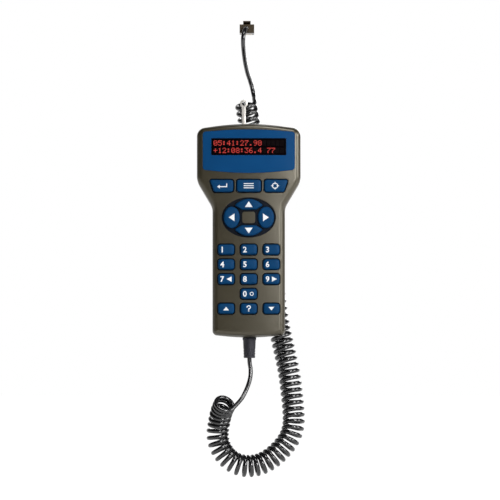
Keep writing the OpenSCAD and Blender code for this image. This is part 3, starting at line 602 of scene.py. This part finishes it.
def curl_points():
    """Points of the curls' helix, with a straight end of one wire's diameter at either side."""
    route = [Vector(p) for p in CURL_ROUTE]
    counts = curl_counts(route)
    turns = round(counts[-1] - CURL_PART) + CURL_PART

    def point(q):
        """Point of the helix after q turns."""
        wanted = q * counts[-1] / turns
        i = max(k for k in range(len(counts) - 1) if counts[k] <= wanted or k == 0)
        share = (wanted - counts[i]) / (counts[i + 1] - counts[i])
        t = (i + share) / ROUTE_STEPS
        h = heading(route, t)
        n = (Vector((0, 1, 0)) - h.y * h).normalized()
        a = math.radians(CURL_START + 360 * q)
        return along(route, t) + CURL_R * (math.cos(a) * n + math.sin(a) * h.cross(n))

    last = round(turns * CURL_STEPS)
    points = [point(k * turns / last) for k in range(last + 1)]
    low = points[0] + WIRE_D * (point(0) - point(NUDGE)).normalized()
    high = points[-1] + WIRE_D * (point(turns) - point(turns - NUDGE)).normalized()
    return [low, *points, high]


def smooth_line(route):
    """Points of the smooth curve through a lead's route."""
    return [along(route, i / LEAD_STEPS) for i in range((len(route) - 1) * LEAD_STEPS + 1)]


def make_cord():
    """The whole cord as one curve."""
    curls = curl_points()
    lead = smooth_line([Vector(p) for p in LEAD_ROUTE] + curls[:1])
    tail = smooth_line(curls[-1:] + [Vector(p) for p in TAIL_ROUTE])
    line = lead[:-1] + curls + tail[1:]
    curve = bpy.data.curves.new("curly_cord", "CURVE")
    curve.dimensions = "3D"
    curve.bevel_depth = WIRE_D / 2 * MM
    curve.bevel_resolution = 4
    curve.use_fill_caps = True
    spline = curve.splines.new("POLY")
    spline.points.add(len(line) - 1)
    for point, p in zip(spline.points, line):
        point.co = (*place(*p), 1)
    spline.use_smooth = True
    curve.materials.append(cord_jacket)
    piece = add_object("curly_cord", curve)
    stand_for(piece, "cord_lead")
    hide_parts("cord_curl", "cord_tail")


make_cord()


# Case
def shell_steps(rim, wall_end, face, r, arc_steps=10):
    """Depths and insets of a cover, from the inside of its wall round its rim to its rounded face."""
    side = 1 if face > rim else -1
    steps = [(wall_end, WALL), (rim, WALL), (rim, SEAM), (rim + side * SEAM, 0)]
    for k in range(arc_steps + 1):
        a = math.pi / 2 * k / arc_steps
        steps.append((face - side * r * (1 - math.sin(a)), r * (1 - math.cos(a))))
    return steps


def cover_cuts(bm):
    """Slot for the hanger and mouth for the plug, shared by both covers."""
    front, back = FRONT_T - HANGER_T / 2 - KEY_GAP, FRONT_T + HANGER_T / 2 + KEY_GAP
    w = HANGER_W / 2 + KEY_GAP
    add_box(bm, (HANGER_X - w, front, CASE_H - 3 * WALL), (HANGER_X + w, back, CASE_H + WALL))
    front, back = FRONT_T - PLUG_H / 2 - MOUTH_GAP, FRONT_T + PLUG_H / 2 + MOUTH_GAP
    w = PLUG_W / 2 + MOUTH_GAP
    add_box(bm, (BOOT_X - w, front, -WALL), (BOOT_X + w, back, 3 * WALL))


def hole(bm, outline, face, lip):
    """Cutter through the front wall, with a rounded lip at a face."""
    add_rings(bm, layers(outline, [
        (face - CUT_PAST, -lip), (face, -lip), (face + 0.3 * lip, -0.45 * lip), (face + lip, 0),
        (WALL + CUT_PAST, 0),
    ]))


def number_spot(digit):
    """Middle of a number key."""
    if digit == 0:
        return 0, KEY_Z + KEY_DZ
    row, col = divmod(digit - 1, 3)
    return (col - 1) * KEY_DX, KEY_Z + (4 - row) * KEY_DZ


def key_shapes():
    """Outline and middle of every key by its name."""
    right = rounded([
        (TOP_KEY_FROM, -TOP_KEY_H / 2, KEY_R, 8),
        (TOP_KEY_OUTER - TOP_KEY_SLANT, -TOP_KEY_H / 2, KEY_R, 8),
        (TOP_KEY_OUTER, TOP_KEY_H / 2, TOP_KEY_R, 8),
        (TOP_KEY_FROM, TOP_KEY_H / 2, KEY_R, 8),
    ])
    left = [Vector((-p.x, p.y)) for p in reversed(right)]
    upper = rounded([
        (-ARROW_HALF_W / 2, ARROW_INNER, ARROW_INNER_R, 6),
        (ARROW_HALF_W / 2, ARROW_INNER, ARROW_INNER_R, 6),
        (ARROW_HALF_W, ARROW_END, ARROW_TIP_R, 6),
        (0, ARROW_CROWN_Z, ARROW_CROWN_R, 24),
        (-ARROW_HALF_W, ARROW_END, ARROW_TIP_R, 6),
    ])
    side_mid = (TOP_KEY_FROM + TOP_KEY_OUTER - TOP_KEY_SLANT / 2) / 2
    lens_mid = (PAD_H / 2 + ARROW_INNER) / 2
    side = ellipse(SIDE_ARROW_W, SIDE_ARROW_H)
    shapes = {
        "key_return": (shifted(left, 0, TOP_KEY_Z), (-side_mid, TOP_KEY_Z)),
        "key_menu": (shifted(round_rect(TOP_KEY_W, TOP_KEY_H, KEY_R), 0, TOP_KEY_Z), (0, TOP_KEY_Z)),
        "key_go": (shifted(right, 0, TOP_KEY_Z), (side_mid, TOP_KEY_Z)),
        "key_arrow_up": (shifted(upper, 0, PAD_Z), (0, PAD_Z + lens_mid)),
        "key_arrow_down": (shifted([-p for p in upper], 0, PAD_Z), (0, PAD_Z - lens_mid)),
        "key_arrow_left": (shifted(side, -SIDE_ARROW_X, PAD_Z), (-SIDE_ARROW_X, PAD_Z)),
        "key_arrow_right": (shifted(side, SIDE_ARROW_X, PAD_Z), (SIDE_ARROW_X, PAD_Z)),
    }
    spots = {f"key_{d}": number_spot(d) for d in range(10)}
    spots["key_scroll_up"] = (-KEY_DX, KEY_Z)
    spots["key_help"] = (0, KEY_Z)
    spots["key_scroll_down"] = (KEY_DX, KEY_Z)
    number = round_rect(KEY_W, KEY_H, KEY_R)
    for name, (x, z) in spots.items():
        shapes[name] = (shifted(number, x, z), (x, z))
    return shapes


KEYS = key_shapes()


def pad_recess():
    """Rings of the recess round the arrow keys, which leaves an island in its middle."""
    island = round_rect(ISLAND_W, ISLAND_H, KEY_R, 24)
    inner = sorted(island, key=lambda p: math.atan2(p.y, p.x) % (2 * math.pi))
    outer = ellipse(PAD_W + 2 * PAD_RIM, PAD_H + 2 * PAD_RIM, len(inner))
    down = [(-CUT_PAST, -0.4), (0, -0.4), (0.15, -0.12), (PAD_RECESS, 0)]
    up = [(PAD_RECESS, 0), (0.12, 0.05), (0, 0.2), (-CUT_PAST, 0.2)]
    return layers(shifted(outer, 0, PAD_Z), down) + layers(shifted(inner, 0, PAD_Z), up)


def crown_rise(x, z):
    """Height of the crowned face over a flat one at a place on the case."""
    t = max(0, min(1, (z - SHOULDER_LOW) / (SHOULDER_HIGH - SHOULDER_LOW)))
    t *= t * (3 - 2 * t)
    bend = (1 - t) / HANDLE_CROWN_R + t / HEAD_CROWN_R
    return CROWN - x * x * bend / 2


def crown(piece):
    """Raises the face of a flat piece to the crown of the case."""
    bm = bmesh.new()
    bm.from_mesh(piece.data)
    columns = range(-CROWN_COLUMNS, CROWN_COLUMNS + 1)
    cuts = [(place(k * CROWN_GRID, 0, 0), Vector((1, 0, 0))) for k in columns]
    for k in range(CROWN_ROWS):
        cuts.append((place(0, 0, SHOULDER_LOW + k * CROWN_GRID), Vector((0, 0, 1))))
    inside = FACE_Y + (WALL - 0.1) * MM
    for at, axis in cuts:
        faces = [f for f in bm.faces if max(v.co.y for v in f.verts) < inside]
        edges = list(dict.fromkeys(e for f in faces for e in f.edges))
        verts = list(dict.fromkeys(v for f in faces for v in f.verts))
        bmesh.ops.bisect_plane(bm, geom=verts + edges + faces, dist=1e-6, plane_co=at, plane_no=axis)
    for v in bm.verts:
        p = (v.co - place(0, 0, 0)) / MM
        share = max(0, min(1, (WALL - p.y) / (WALL - CROWN_DEPTH)))
        v.co.y -= share * crown_rise(p.x, p.z) * MM
    bm.to_mesh(piece.data)
    bm.free()
    piece.data.set_sharp_from_angle(angle=SHARP_ANGLE)


def make_front_cover():
    """Front cover with its recesses and key holes, whose insides carry a dark painted shade."""
    bm = bmesh.new()
    add_rings(bm, case_layers(shell_steps(FRONT_T, WALL, 0, FRONT_R)))
    piece = link("front_shell", to_mesh(bm, "front_shell"), case_plastic, recess_painted_shade)
    bm = bmesh.new()
    lip = 2 * PANEL_GAP
    add_rings(bm, layers(PANEL, [
        (-CUT_PAST, -lip), (0, -lip), (PANEL_GAP, -PANEL_GAP), (PANEL_T, -PANEL_GAP),
    ]))
    cut(piece, bm)
    bm = bmesh.new()
    add_rings(bm, pad_recess(), closed=True)
    # The recess's faces take the second material, the dark painted shade
    cut(piece, bm, 1)
    bm = bmesh.new()
    for name, (outline, _) in KEYS.items():
        face, lip = (PAD_RECESS, ARROW_LIP) if "arrow" in name else (0, KEY_LIP)
        hole(bm, inset(outline, -KEY_GAP), face, lip)
    # The walls and lips of the key holes take the same dark painted shade
    cut(piece, bm, 1)
    bm = bmesh.new()
    opening = shifted(round_rect(WINDOW_W, WINDOW_H, WINDOW_HOLE_R), 0, WINDOW_Z)
    hole(bm, opening, PANEL_T, WINDOW_LIP)
    cover_cuts(bm)
    cut(piece, bm)
    crown(piece)
    even_shade(piece)
    stand_for(piece, "front_cover")


def make_rear_cover():
    """Rear cover with its screw bosses."""
    bm = bmesh.new()
    add_rings(bm, case_layers(shell_steps(FRONT_T, CASE_T - WALL, CASE_T, REAR_R)))
    piece = link("rear_shell", to_mesh(bm, "rear_shell"), case_plastic)
    bm = bmesh.new()
    head_r, shank_r = SCREW_HEAD_R + SCREW_GAP, SCREW_R + SCREW_GAP
    for x, z in BOSS_SPOTS:
        lathe(bm, x, z, [
            (head_r, CASE_T - SCREW_HOLE), (head_r, CASE_T - SCREW_MOUTH),
            (head_r + SCREW_MOUTH, CASE_T), (head_r + SCREW_MOUTH, CASE_T + CUT_PAST),
        ])
    cover_cuts(bm)
    cut(piece, bm)
    bm = bmesh.new()
    bm.from_mesh(piece.data)
    seat = CASE_T - SCREW_SINK
    for x, z in BOSS_SPOTS:
        lathe(bm, x, z, [
            (BOSS_R, FRONT_T), (BOSS_R, CASE_T - WALL), (head_r, CASE_T - WALL),
            (head_r, seat), (shank_r, seat), (shank_r, FRONT_T),
        ], closed=True)
    bm.to_mesh(piece.data)
    bm.free()
    piece.data.set_sharp_from_angle(angle=SHARP_ANGLE)
    even_shade(piece)
    stand_for(piece, "rear_cover")


make_front_cover()
make_rear_cover()


# Display
def make_panel():
    """Blue overlay that lies flush round the display."""
    bm = bmesh.new()
    add_rings(bm, layers(PANEL, [(PANEL_T, 0), (0.1, 0), (0.03, 0.03), (0, 0.1)]))
    piece = link("panel_overlay", to_mesh(bm, "panel_overlay"), panel_film)
    bm = bmesh.new()
    opening = shifted(round_rect(WINDOW_W, WINDOW_H, PANEL_HOLE_R), 0, WINDOW_Z)
    lip = PANEL_HOLE_LIP
    add_rings(bm, layers(opening, [(-CUT_PAST, -lip), (0, -lip), (lip, 0), (CUT_PAST, 0)]))
    cut(piece, bm)
    crown(piece)
    even_shade(piece)
    stand_for(piece, "display_panel")


def make_window():
    """Dark window with a bonding rim behind the face."""
    outline = shifted(round_rect(WINDOW_W - KEY_GAP, WINDOW_H - KEY_GAP, LENS_R), 0, WINDOW_Z)
    rim = -LENS_RIM - KEY_GAP / 2
    bm = bmesh.new()
    add_rings(bm, layers(outline, [
        (WALL + LENS_T, rim), (WALL, rim), (WALL, 0),
        (PANEL_T + 0.15, 0), (PANEL_T + 0.04, 0.05), (PANEL_T, 0.2),
    ]))
    piece = link("window_lens", to_mesh(bm, "window_lens"), window_pane)
    crown(piece)
    even_shade(piece)
    stand_for(piece, "display_window")


FONT = {
    "0": "01110 10001 10011 10101 11001 10001 01110",
    "1": "00100 01100 00100 00100 00100 00100 01110",
    "2": "01110 10001 00001 00010 00100 01000 11111",
    "3": "11111 00010 00100 00010 00001 10001 01110",
    "4": "00010 00110 01010 10010 11111 00010 00010",
    "5": "11111 10000 11110 00001 00001 10001 01110",
    "6": "00110 01000 10000 11110 10001 10001 01110",
    "7": "11111 00001 00010 00100 01000 01000 01000",
    "8": "01110 10001 10001 01110 10001 10001 01110",
    "9": "01110 10001 10001 01111 00001 00010 01100",
    "+": "00000 00100 00100 11111 00100 00100 00000",
    ":": "00000 01100 01100 00000 01100 01100 00000",
    ".": "00000 00000 00000 00000 00000 01100 01100",
    " ": "00000 00000 00000 00000 00000 00000 00000",
}
LINES = ["05:41:27.98     ", "+12:08:36.4 77  "]
CELL_DX, LINE_DZ = 3.55, 5.9
DOT_DX, DOT_W = 0.6, 0.5
LIT_RISE, DIM_RISE, DOT_SINK = 0.03, 0.015, 0.03


def make_dots():
    """Two lines of dot-matrix numbers, and the dark dots round them."""
    lit, dim = bmesh.new(), bmesh.new()
    for line, words in enumerate(LINES):
        for cell, sign in enumerate(words):
            for row, bits in enumerate(FONT[sign].split()):
                for col, bit in enumerate(bits):
                    x = (cell - (len(words) - 1) / 2) * CELL_DX + (col - 2) * DOT_DX
                    z = WINDOW_Z + (0.5 - line) * LINE_DZ + (3 - row) * DOT_DX
                    bm, above = (lit, LIT_RISE) if bit == "1" else (dim, DIM_RISE)
                    level = PANEL_T - crown_rise(x, z)
                    r = DOT_W / 2
                    add_box(bm, (x - r, level - above, z - r), (x + r, level + DOT_SINK, z + r))
    for name, bm, material in (("lit_dots", lit, lit_dot), ("dim_dots", dim, dim_dot)):
        piece = link(name, to_mesh(bm, name), material)
        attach(piece, "handset")


make_panel()
make_window()
make_dots()


# Keys
FILLET_STEPS, TOP_STEPS = 6, 9
INK_GRID, INK_SINK, INK_RISE, INK_SPREAD = 0.7, 0.06, 0.03, 0.024


def dome(outline, middle):
    """Height of a key's top over a flat face, as a function of the place on the case."""
    half_w = max(abs(p.x - middle[0]) for p in outline)
    half_h = max(abs(p.y - middle[1]) for p in outline)
    edge = KEY_EDGE + crown_rise(*middle)

    def height(x, z):
        """Height at one place."""
        u, v = (x - middle[0]) / half_w, (z - middle[1]) / half_h
        return edge + KEY_DOME * max(0, 1 - u ** 4) * max(0, 1 - v ** 4)
    return height


def tab_size(name):
    """Width and height of a key's retaining tab."""
    if "arrow_up" in name or "arrow_down" in name:
        return TAB_W, PAD_H / 2 - ARROW_INNER + 2 * TAB_REACH
    if "arrow" in name:
        return SIDE_ARROW_W + 2 * TAB_REACH, TAB_W - 1
    if name in ("key_return", "key_menu", "key_go"):
        return TAB_W, TOP_KEY_H + 2 * TAB_REACH
    return KEY_W + 2 * TAB_REACH, KEY_H / 2


def make_key(name):
    """Key cap with a round edge and a crowned top, its retaining tab and its plunger."""
    corners, middle = KEYS[name]
    outline = even(corners)
    height = dome(outline, middle)
    x, z = middle
    edge = KEY_EDGE + crown_rise(x, z)
    rings = layers(outline, [(TAB_Y + TAB_T, 0), (KEY_SIDE - edge, 0)])
    for k in range(FILLET_STEPS + 1):
        a = math.pi / 2 * k / FILLET_STEPS
        drop = KEY_FILLET * (1 - math.sin(a)) - edge
        share = math.sin(a) ** 2
        ring = inset(outline, KEY_FILLET * (1 - math.cos(a)))
        rings.append([place(p.x, drop - share * (height(p.x, p.y) - edge), p.y) for p in ring])
    top = inset(outline, KEY_FILLET)
    for k in range(1, TOP_STEPS + 1):
        ring = [p.lerp(Vector(middle), k / (TOP_STEPS + 0.5)) for p in top]
        rings.append([place(p.x, -height(p.x, p.y), p.y) for p in ring])
    bm = bmesh.new()
    add_rings(bm, rings)
    w, h = tab_size(name)
    if name in ("key_return", "key_go"):
        x = math.copysign(TOP_STEM_X, x)
    add_box(bm, (x - w / 2, TAB_Y, z - h / 2), (x + w / 2, TAB_Y + TAB_T, z + h / 2))
    lathe(bm, x, z, [(STEM_R, TAB_Y), (STEM_R, STEM_END - 0.3), (STEM_R - 0.3, STEM_END)], sides=24)
    piece = link(name.replace("key_", "cap_"), to_mesh(bm, name), key_rubber)
    stand_for(piece, name, name)
    return height


def add_ink(name, polygons, height):
    """White print on a key: flat shapes, cut into a fine grid, that follow the key's top."""
    bm = bmesh.new()
    for polygon in polygons:
        bm.faces.new([bm.verts.new((x, 0, z)) for x, z in polygon])
    bmesh.ops.remove_doubles(bm, verts=bm.verts, dist=0.001)
    for axis in (Vector((1, 0, 0)), Vector((0, 0, 1))):
        reach = [v.co.dot(axis) for v in bm.verts]
        for k in range(math.ceil(min(reach) / INK_GRID), math.floor(max(reach) / INK_GRID) + 1):
            parts = bm.verts[:] + bm.edges[:] + bm.faces[:]
            at = axis * (k * INK_GRID)
            bmesh.ops.bisect_plane(bm, geom=parts, dist=0.0001, plane_co=at, plane_no=axis)
    back = set(bm.verts)
    bmesh.ops.extrude_face_region(bm, geom=bm.faces[:])
    for v in bm.verts:
        x, z = v.co.x, v.co.z
        v.co = place(x, -height(x, z) + (INK_SINK if v in back else -INK_RISE), z)
    # The same order of faces each run
    bm.verts.index_update()
    corners = {f: sorted(v.index for v in f.verts) for f in bm.faces}
    bm.faces.sort(key=lambda f: sum(at / len(bm.verts) ** k for k, at in enumerate(corners[f])))
    piece = link(name.replace("key_", "print_"), to_mesh(bm, name), ink)
    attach(piece, name)


def glyph(sign, height, x, z):
    """Polygons of a digit or sign of that height about a place."""
    curve = bpy.data.curves.new("glyph", "FONT")
    curve.body = sign
    curve.offset = INK_SPREAD
    curve.resolution_u = 6
    holder = add_object("glyph", curve)
    graph = bpy.context.evaluated_depsgraph_get()
    mesh = bpy.data.meshes.new_from_object(holder.evaluated_get(graph))
    xs = [v.co.x for v in mesh.vertices]
    ys = [v.co.y for v in mesh.vertices]
    scale = height / (max(ys) - min(ys))
    mid_x, mid_y = (max(xs) + min(xs)) / 2, (max(ys) + min(ys)) / 2
    found = []
    for face in mesh.polygons:
        corners = [mesh.vertices[i].co for i in face.vertices]
        found.append([(x + (c.x - mid_x) * scale, z + (c.y - mid_y) * scale) for c in corners])
    bpy.data.objects.remove(holder)
    bpy.data.meshes.remove(mesh)
    return found


def stroke(points, width):
    """Polygons of a line of even width through points."""
    line = [Vector(p) for p in points]
    sides = []
    for i, p in enumerate(line):
        a = (p - line[i - 1]).normalized() if i else (line[1] - p).normalized()
        b = (line[i + 1] - p).normalized() if i + 1 < len(line) else a
        n = Vector((-a.y - b.y, a.x + b.x))
        n *= width / 2 / (1 + a.dot(b))
        sides.append((p + n, p - n))
    return [[tuple(a[0]), tuple(a[1]), tuple(b[1]), tuple(b[0])] for a, b in zip(sides, sides[1:])]


def triangle(x, z, w, h, turn):
    """Triangle about a place that points up, turned counter-clockwise by quarter turns."""
    c, s = math.cos(math.pi / 2 * turn), math.sin(math.pi / 2 * turn)
    corners = [(-w / 2, -h / 2), (w / 2, -h / 2), (0, h / 2)]
    return [[(x + u * c - v * s, z + u * s + v * c) for u, v in corners]]


def ring_line(x, z, r, steps=32):
    """Points of a circle."""
    turns = [2 * math.pi * i / steps for i in range(steps + 1)]
    return [(x + r * math.cos(a), z + r * math.sin(a)) for a in turns]


DIGIT_H, DIGIT_X, SECOND_X = 4.6, -3.1, 2.4
NUMBER_ARROW, SCROLL_ARROW, PAD_ARROW, RETURN_ARROW = (4.2, 4), (4.6, 2.8), (6.2, 4.6), (3, 2)
QUARTER_TURNS = {
    "7": 1, "9": 3, "scroll_up": 0, "scroll_down": 2,
    "arrow_up": 0, "arrow_left": 1, "arrow_down": 2, "arrow_right": 3,
}
DOT_RING_R, DOT_RING_LINE = 1.3, 0.5
HELP_TURNS = [math.radians(190 - 24 * i) for i in range(11)]
HELP_W, HELP_H, HELP_LINE = 1.3, 1.2, 0.8
RETURN_LINE, MENU_LINE, MENU_DZ = 0.8, 0.65, 1.7
TARGET_R, TARGET_LINE, TARGET_FROM, TARGET_TO, TARGET_MARK = 2.1, 0.6, 1.2, 3.2, 0.5


def key_print(name):
    """Shapes printed on a key."""
    x, z = KEYS[name][1]
    sign = name[4:]
    turn = QUARTER_TURNS.get(sign)
    if sign.isdigit():
        shapes = glyph(sign, DIGIT_H, x + DIGIT_X, z)
        if turn is not None:
            shapes += triangle(x + SECOND_X, z, *NUMBER_ARROW, turn)
        if sign == "0":
            shapes += stroke(ring_line(x + SECOND_X, z, DOT_RING_R, 24), DOT_RING_LINE)
        return shapes
    if sign.startswith("scroll"):
        return triangle(x, z, *SCROLL_ARROW, turn)
    if sign.startswith("arrow"):
        return triangle(x, z, *PAD_ARROW, turn)
    if sign == "help":
        hook = [(x + HELP_W * math.cos(a), z + 1.1 + HELP_H * math.sin(a)) for a in HELP_TURNS]
        dot = stroke([(x, z - 1.5), (x, z - 2.3)], HELP_LINE)
        return stroke([*hook, (x, z - 0.2), (x, z - 0.9)], HELP_LINE) + dot
    if sign == "return":
        hook = stroke([(x + 3.4, z + 1.8), (x + 3.4, z - 0.7), (x - 2.2, z - 0.7)], RETURN_LINE)
        return hook + triangle(x - 3.2, z - 0.7, *RETURN_ARROW, 1)
    if sign == "menu":
        bars = [stroke([(x - 4, z + dz), (x + 4, z + dz)], MENU_LINE) for dz in (-MENU_DZ, 0, MENU_DZ)]
        return [shape for bar in bars for shape in bar]
    shapes = stroke(ring_line(x, z, TARGET_R), TARGET_LINE)
    for a in range(4):
        u, v = math.cos(math.pi / 2 * a), math.sin(math.pi / 2 * a)
        start, end = (x + TARGET_FROM * u, z + TARGET_FROM * v), (x + TARGET_TO * u, z + TARGET_TO * v)
        shapes += stroke([start, end], TARGET_MARK)
    return shapes


for name in KEYS:
    add_ink(name, key_print(name), make_key(name))


# Hanger, boot and screws
def make_hanger():
    """Metal strip with an eye and a foot that the covers trap."""
    r = EYE_R + EYE_RIM
    w, foot = HANGER_W / 2, HANGER_FOOT_W / 2
    low, high = HANGER_FOOT_Z, HANGER_FOOT_Z + HANGER_FOOT_H
    start = math.asin(w / r)
    outline = [Vector((-foot, low)), Vector((foot, low)), Vector((foot, high)), Vector((w, high))]
    steps = 48
    for i in range(steps + 1):
        a = -math.pi / 2 + start + (2 * math.pi - 2 * start) * i / steps
        outline.append(Vector((r * math.cos(a), EYE_Z + r * math.sin(a))))
    outline += [Vector((-w, high)), Vector((-foot, high))]
    outline = shifted(outline, HANGER_X, 0)
    front, back = FRONT_T - HANGER_T / 2, FRONT_T + HANGER_T / 2
    edge, mid = HANGER_EDGE, HANGER_EDGE_MID
    bm = bmesh.new()
    add_rings(bm, layers(outline, [
        (back, edge), (back - mid, mid), (back - edge, 0),
        (front + edge, 0), (front + mid, mid), (front, edge),
    ]))
    piece = link("hanger_strip", to_mesh(bm, "hanger_strip"), bright_steel)
    bm = bmesh.new()
    lathe(bm, HANGER_X, EYE_Z, [
        (EYE_R + edge, front - CUT_PAST), (EYE_R + edge, front), (EYE_R, front + edge),
        (EYE_R, back - edge), (EYE_R + edge, back), (EYE_R + edge, back + CUT_PAST),
    ])
    cut(piece, bm)
    stand_for(piece, "hanger")


def make_boot():
    """Tapered sleeve with grooves where the cord leaves the case."""
    tip_r, top_r, lip_r = BOOT_TIP_D / 2, BOOT_D / 2 - BOOT_STEP, BOOT_D / 2
    hole_r = WIRE_D / 2
    end = -BOOT_LEN
    low, high = end + BOOT_TIP_EDGE, -BOOT_LIP
    profile = [
        (hole_r, end + 2), (hole_r, end),
        (tip_r - BOOT_TIP_EDGE, end), (tip_r - 0.15, end + 0.15), (tip_r, low),
    ]
    for groove in BOOT_GROOVES:
        for dz, dr in GROOVE:
            z = end + groove + dz
            r = tip_r + (top_r - tip_r) * (z - low) / (high - low)
            profile.append((r - dr, z))
    profile += [(top_r, high), (lip_r - 0.2, high), (lip_r, high + 0.2), (lip_r, -0.3), (lip_r - 0.3, 0)]
    bm = bmesh.new()
    lathe(bm, BOOT_X, CASE_T / 2, profile, along="z", sides=48)
    piece = link("boot_sleeve", to_mesh(bm, "boot_sleeve"), boot_rubber)
    stand_for(piece, "cord_boot")


def make_screws():
    """Case screws with crossed recesses in their heads."""
    bm = bmesh.new()
    tip = FRONT_T - SCREW_BITE
    seat = CASE_T - SCREW_SINK
    top = seat + SCREW_HEAD_H
    for x, z in BOSS_SPOTS:
        lathe(bm, x, z, [
            (SCREW_TIP_R, tip), (SCREW_R, tip + SCREW_TIP), (SCREW_R, seat), (SCREW_HEAD_R, seat),
            (SCREW_HEAD_R, top - 0.7), (SCREW_HEAD_R - 0.2, top - 0.3), (SCREW_HEAD_R - 0.7, top - 0.05),
            (SCREW_HEAD_R - 1.2, top),
        ])
    piece = link("case_screw_set", to_mesh(bm, "case_screw_set"), screw_steel)
    for w, h in ((CROSS_L, CROSS_W), (CROSS_W, CROSS_L)):
        bm = bmesh.new()
        for x, z in BOSS_SPOTS:
            add_box(bm, (x - w, top - CROSS_DEPTH, z - h), (x + w, top + CUT_PAST, z + h))
        cut(piece, bm)
    stand_for(piece, "case_screws")


make_hanger()
make_boot()
make_screws()

# Soft edges on the two plugs, which keep their solids
for name in ("cord_plug", "handset_plug"):
    edge = nodes[name].modifiers.new("edge", "BEVEL")
    edge.width = PLUG_EDGE * MM
    edge.segments = 2
    edge.limit_method = "ANGLE"


# Stage, light and camera
WHITE, PALE = (1, 1, 1, 1), (0.85, 0.85, 0.85, 1)
WORLD_LIGHT, ROOM_LIGHT = 0.08, 0.05
FLOOR_DROP, FLOOR_SIZE, FLOOR_ROUGH = 0.06, 30, 0.9
# Distances on the floor between which its glow rises, and its least glow
FLOOR_NEAR, FLOOR_FAR, FLOOR_GLOW = 0.3, 1.4, 0.2
# Where gloss on the object passes from the dim room in front to the white behind
FLOOR_DIM, FLOOR_WHITE = -1, -0.2
WORLD_DIM, WORLD_WHITE = 0.5, 0.95


def make_floor():
    """Pale floor that looks white and keeps soft shadows."""
    mesh = bpy.data.meshes.new("floor")
    z = cad_low.z - FLOOR_DROP
    size = FLOOR_SIZE
    corners = [(-size, -size, z), (size, -size, z), (size, size, z), (-size, size, z)]
    mesh.from_pydata(corners, [], [(0, 1, 2, 3)])
    floor = add_object("floor", mesh)
    material = bpy.data.materials.new("floor")
    material.use_nodes = True
    tree = material.node_tree
    shader = tree.nodes["Principled BSDF"]
    shader.inputs["Base Color"].default_value = PALE
    shader.inputs["Roughness"].default_value = FLOOR_ROUGH
    shader.inputs["Specular IOR Level"].default_value = 0
    glow = tree.nodes.new("ShaderNodeEmission")
    glow.inputs["Color"].default_value = WHITE
    path = tree.nodes.new("ShaderNodeLightPath").outputs
    spot = tree.nodes.new("ShaderNodeTexCoord").outputs["Object"]
    parts = tree.nodes.new("ShaderNodeSeparateXYZ")
    tree.links.new(spot, parts.inputs["Vector"])
    room = ranged(tree, parts.outputs["Y"], FLOOR_DIM, FLOOR_WHITE, ROOM_LIGHT, 1)
    straight = larger(tree, path["Is Camera Ray"], path["Is Transmission Ray"])
    seen = larger(tree, straight, product(tree, path["Is Glossy Ray"], room))
    away = tree.nodes.new("ShaderNodeVectorMath")
    away.operation = "LENGTH"
    tree.links.new(spot, away.inputs[0])
    rise = ranged(tree, away.outputs["Value"], FLOOR_NEAR, FLOOR_FAR, FLOOR_GLOW, 1)
    tree.links.new(product(tree, seen, rise), glow.inputs["Strength"])
    both = tree.nodes.new("ShaderNodeAddShader")
    tree.links.new(shader.outputs["BSDF"], both.inputs[0])
    tree.links.new(glow.outputs["Emission"], both.inputs[1])
    tree.links.new(both.outputs["Shader"], tree.nodes["Material Output"].inputs["Surface"])
    mesh.materials.append(material)


def make_world():
    """Plain soft light all round, seen as white, with a dim room in front of the object."""
    world = bpy.data.worlds.new("studio")
    bpy.context.scene.world = world
    world.use_nodes = True
    tree = world.node_tree
    light = tree.nodes["Background"]
    light.inputs["Color"].default_value = WHITE
    light.inputs["Strength"].default_value = WORLD_LIGHT
    seen = tree.nodes.new("ShaderNodeBackground")
    seen.inputs["Color"].default_value = WHITE
    path = tree.nodes.new("ShaderNodeLightPath").outputs
    straight = larger(tree, path["Is Camera Ray"], path["Is Transmission Ray"])
    parts = tree.nodes.new("ShaderNodeSeparateXYZ")
    tree.links.new(tree.nodes.new("ShaderNodeTexCoord").outputs["Generated"], parts.inputs["Vector"])
    room = ranged(tree, parts.outputs["Y"], WORLD_DIM, WORLD_WHITE, ROOM_LIGHT, 1)
    tree.links.new(larger(tree, straight, room), seen.inputs["Strength"])
    mix = tree.nodes.new("ShaderNodeMixShader")
    tree.links.new(larger(tree, straight, path["Is Glossy Ray"]), mix.inputs["Fac"])
    tree.links.new(light.outputs["Background"], mix.inputs[1])
    tree.links.new(seen.outputs["Background"], mix.inputs[2])
    tree.links.new(mix.outputs["Shader"], tree.nodes["World Output"].inputs["Surface"])


def make_lamp(name, at, aim, size, power):
    """Soft square lamp that looks at a point."""
    lamp = bpy.data.lights.new(name, "AREA")
    lamp.size = size
    lamp.energy = power
    holder = add_object(name, lamp)
    holder.location = at
    holder.rotation_euler = (aim - Vector(at)).to_track_quat("-Z", "Y").to_euler()


VIEW_MIDDLE = place(1, 2, 69.8)
VIEW_RISE, VIEW_DISTANCE, VIEW_WIDTH = -2, 3, 0.4
SENSOR_W = 36


def make_camera():
    """Camera at the photographed angle, a little below the handset."""
    data = bpy.data.cameras.new("camera")
    data.sensor_width = SENSOR_W
    data.lens = SENSOR_W * VIEW_DISTANCE / VIEW_WIDTH
    camera = add_object("camera", data)
    rise = math.radians(VIEW_RISE)
    back = Vector((0, -math.cos(rise), math.sin(rise)))
    camera.location = VIEW_MIDDLE + VIEW_DISTANCE * back
    camera.rotation_euler = (-back).to_track_quat("-Z", "Y").to_euler()
    bpy.context.scene.camera = camera


make_floor()
make_world()
make_lamp("key_lamp", (0.73, -1.8, 0.3), VIEW_MIDDLE, 0.4, 17)
make_lamp("side_lamp", (1.37, -0.74, 0.3), VIEW_MIDDLE, 0.6, 12)
make_lamp("top_lamp", (0.25, -0.8, 1.2), VIEW_MIDDLE, 0.45, 8)
make_lamp("back_lamp", (0.5, 1.5, 0.5), VIEW_MIDDLE, 0.8, 10)
make_camera()
bpy.context.scene.view_settings.view_transform = "Standard"
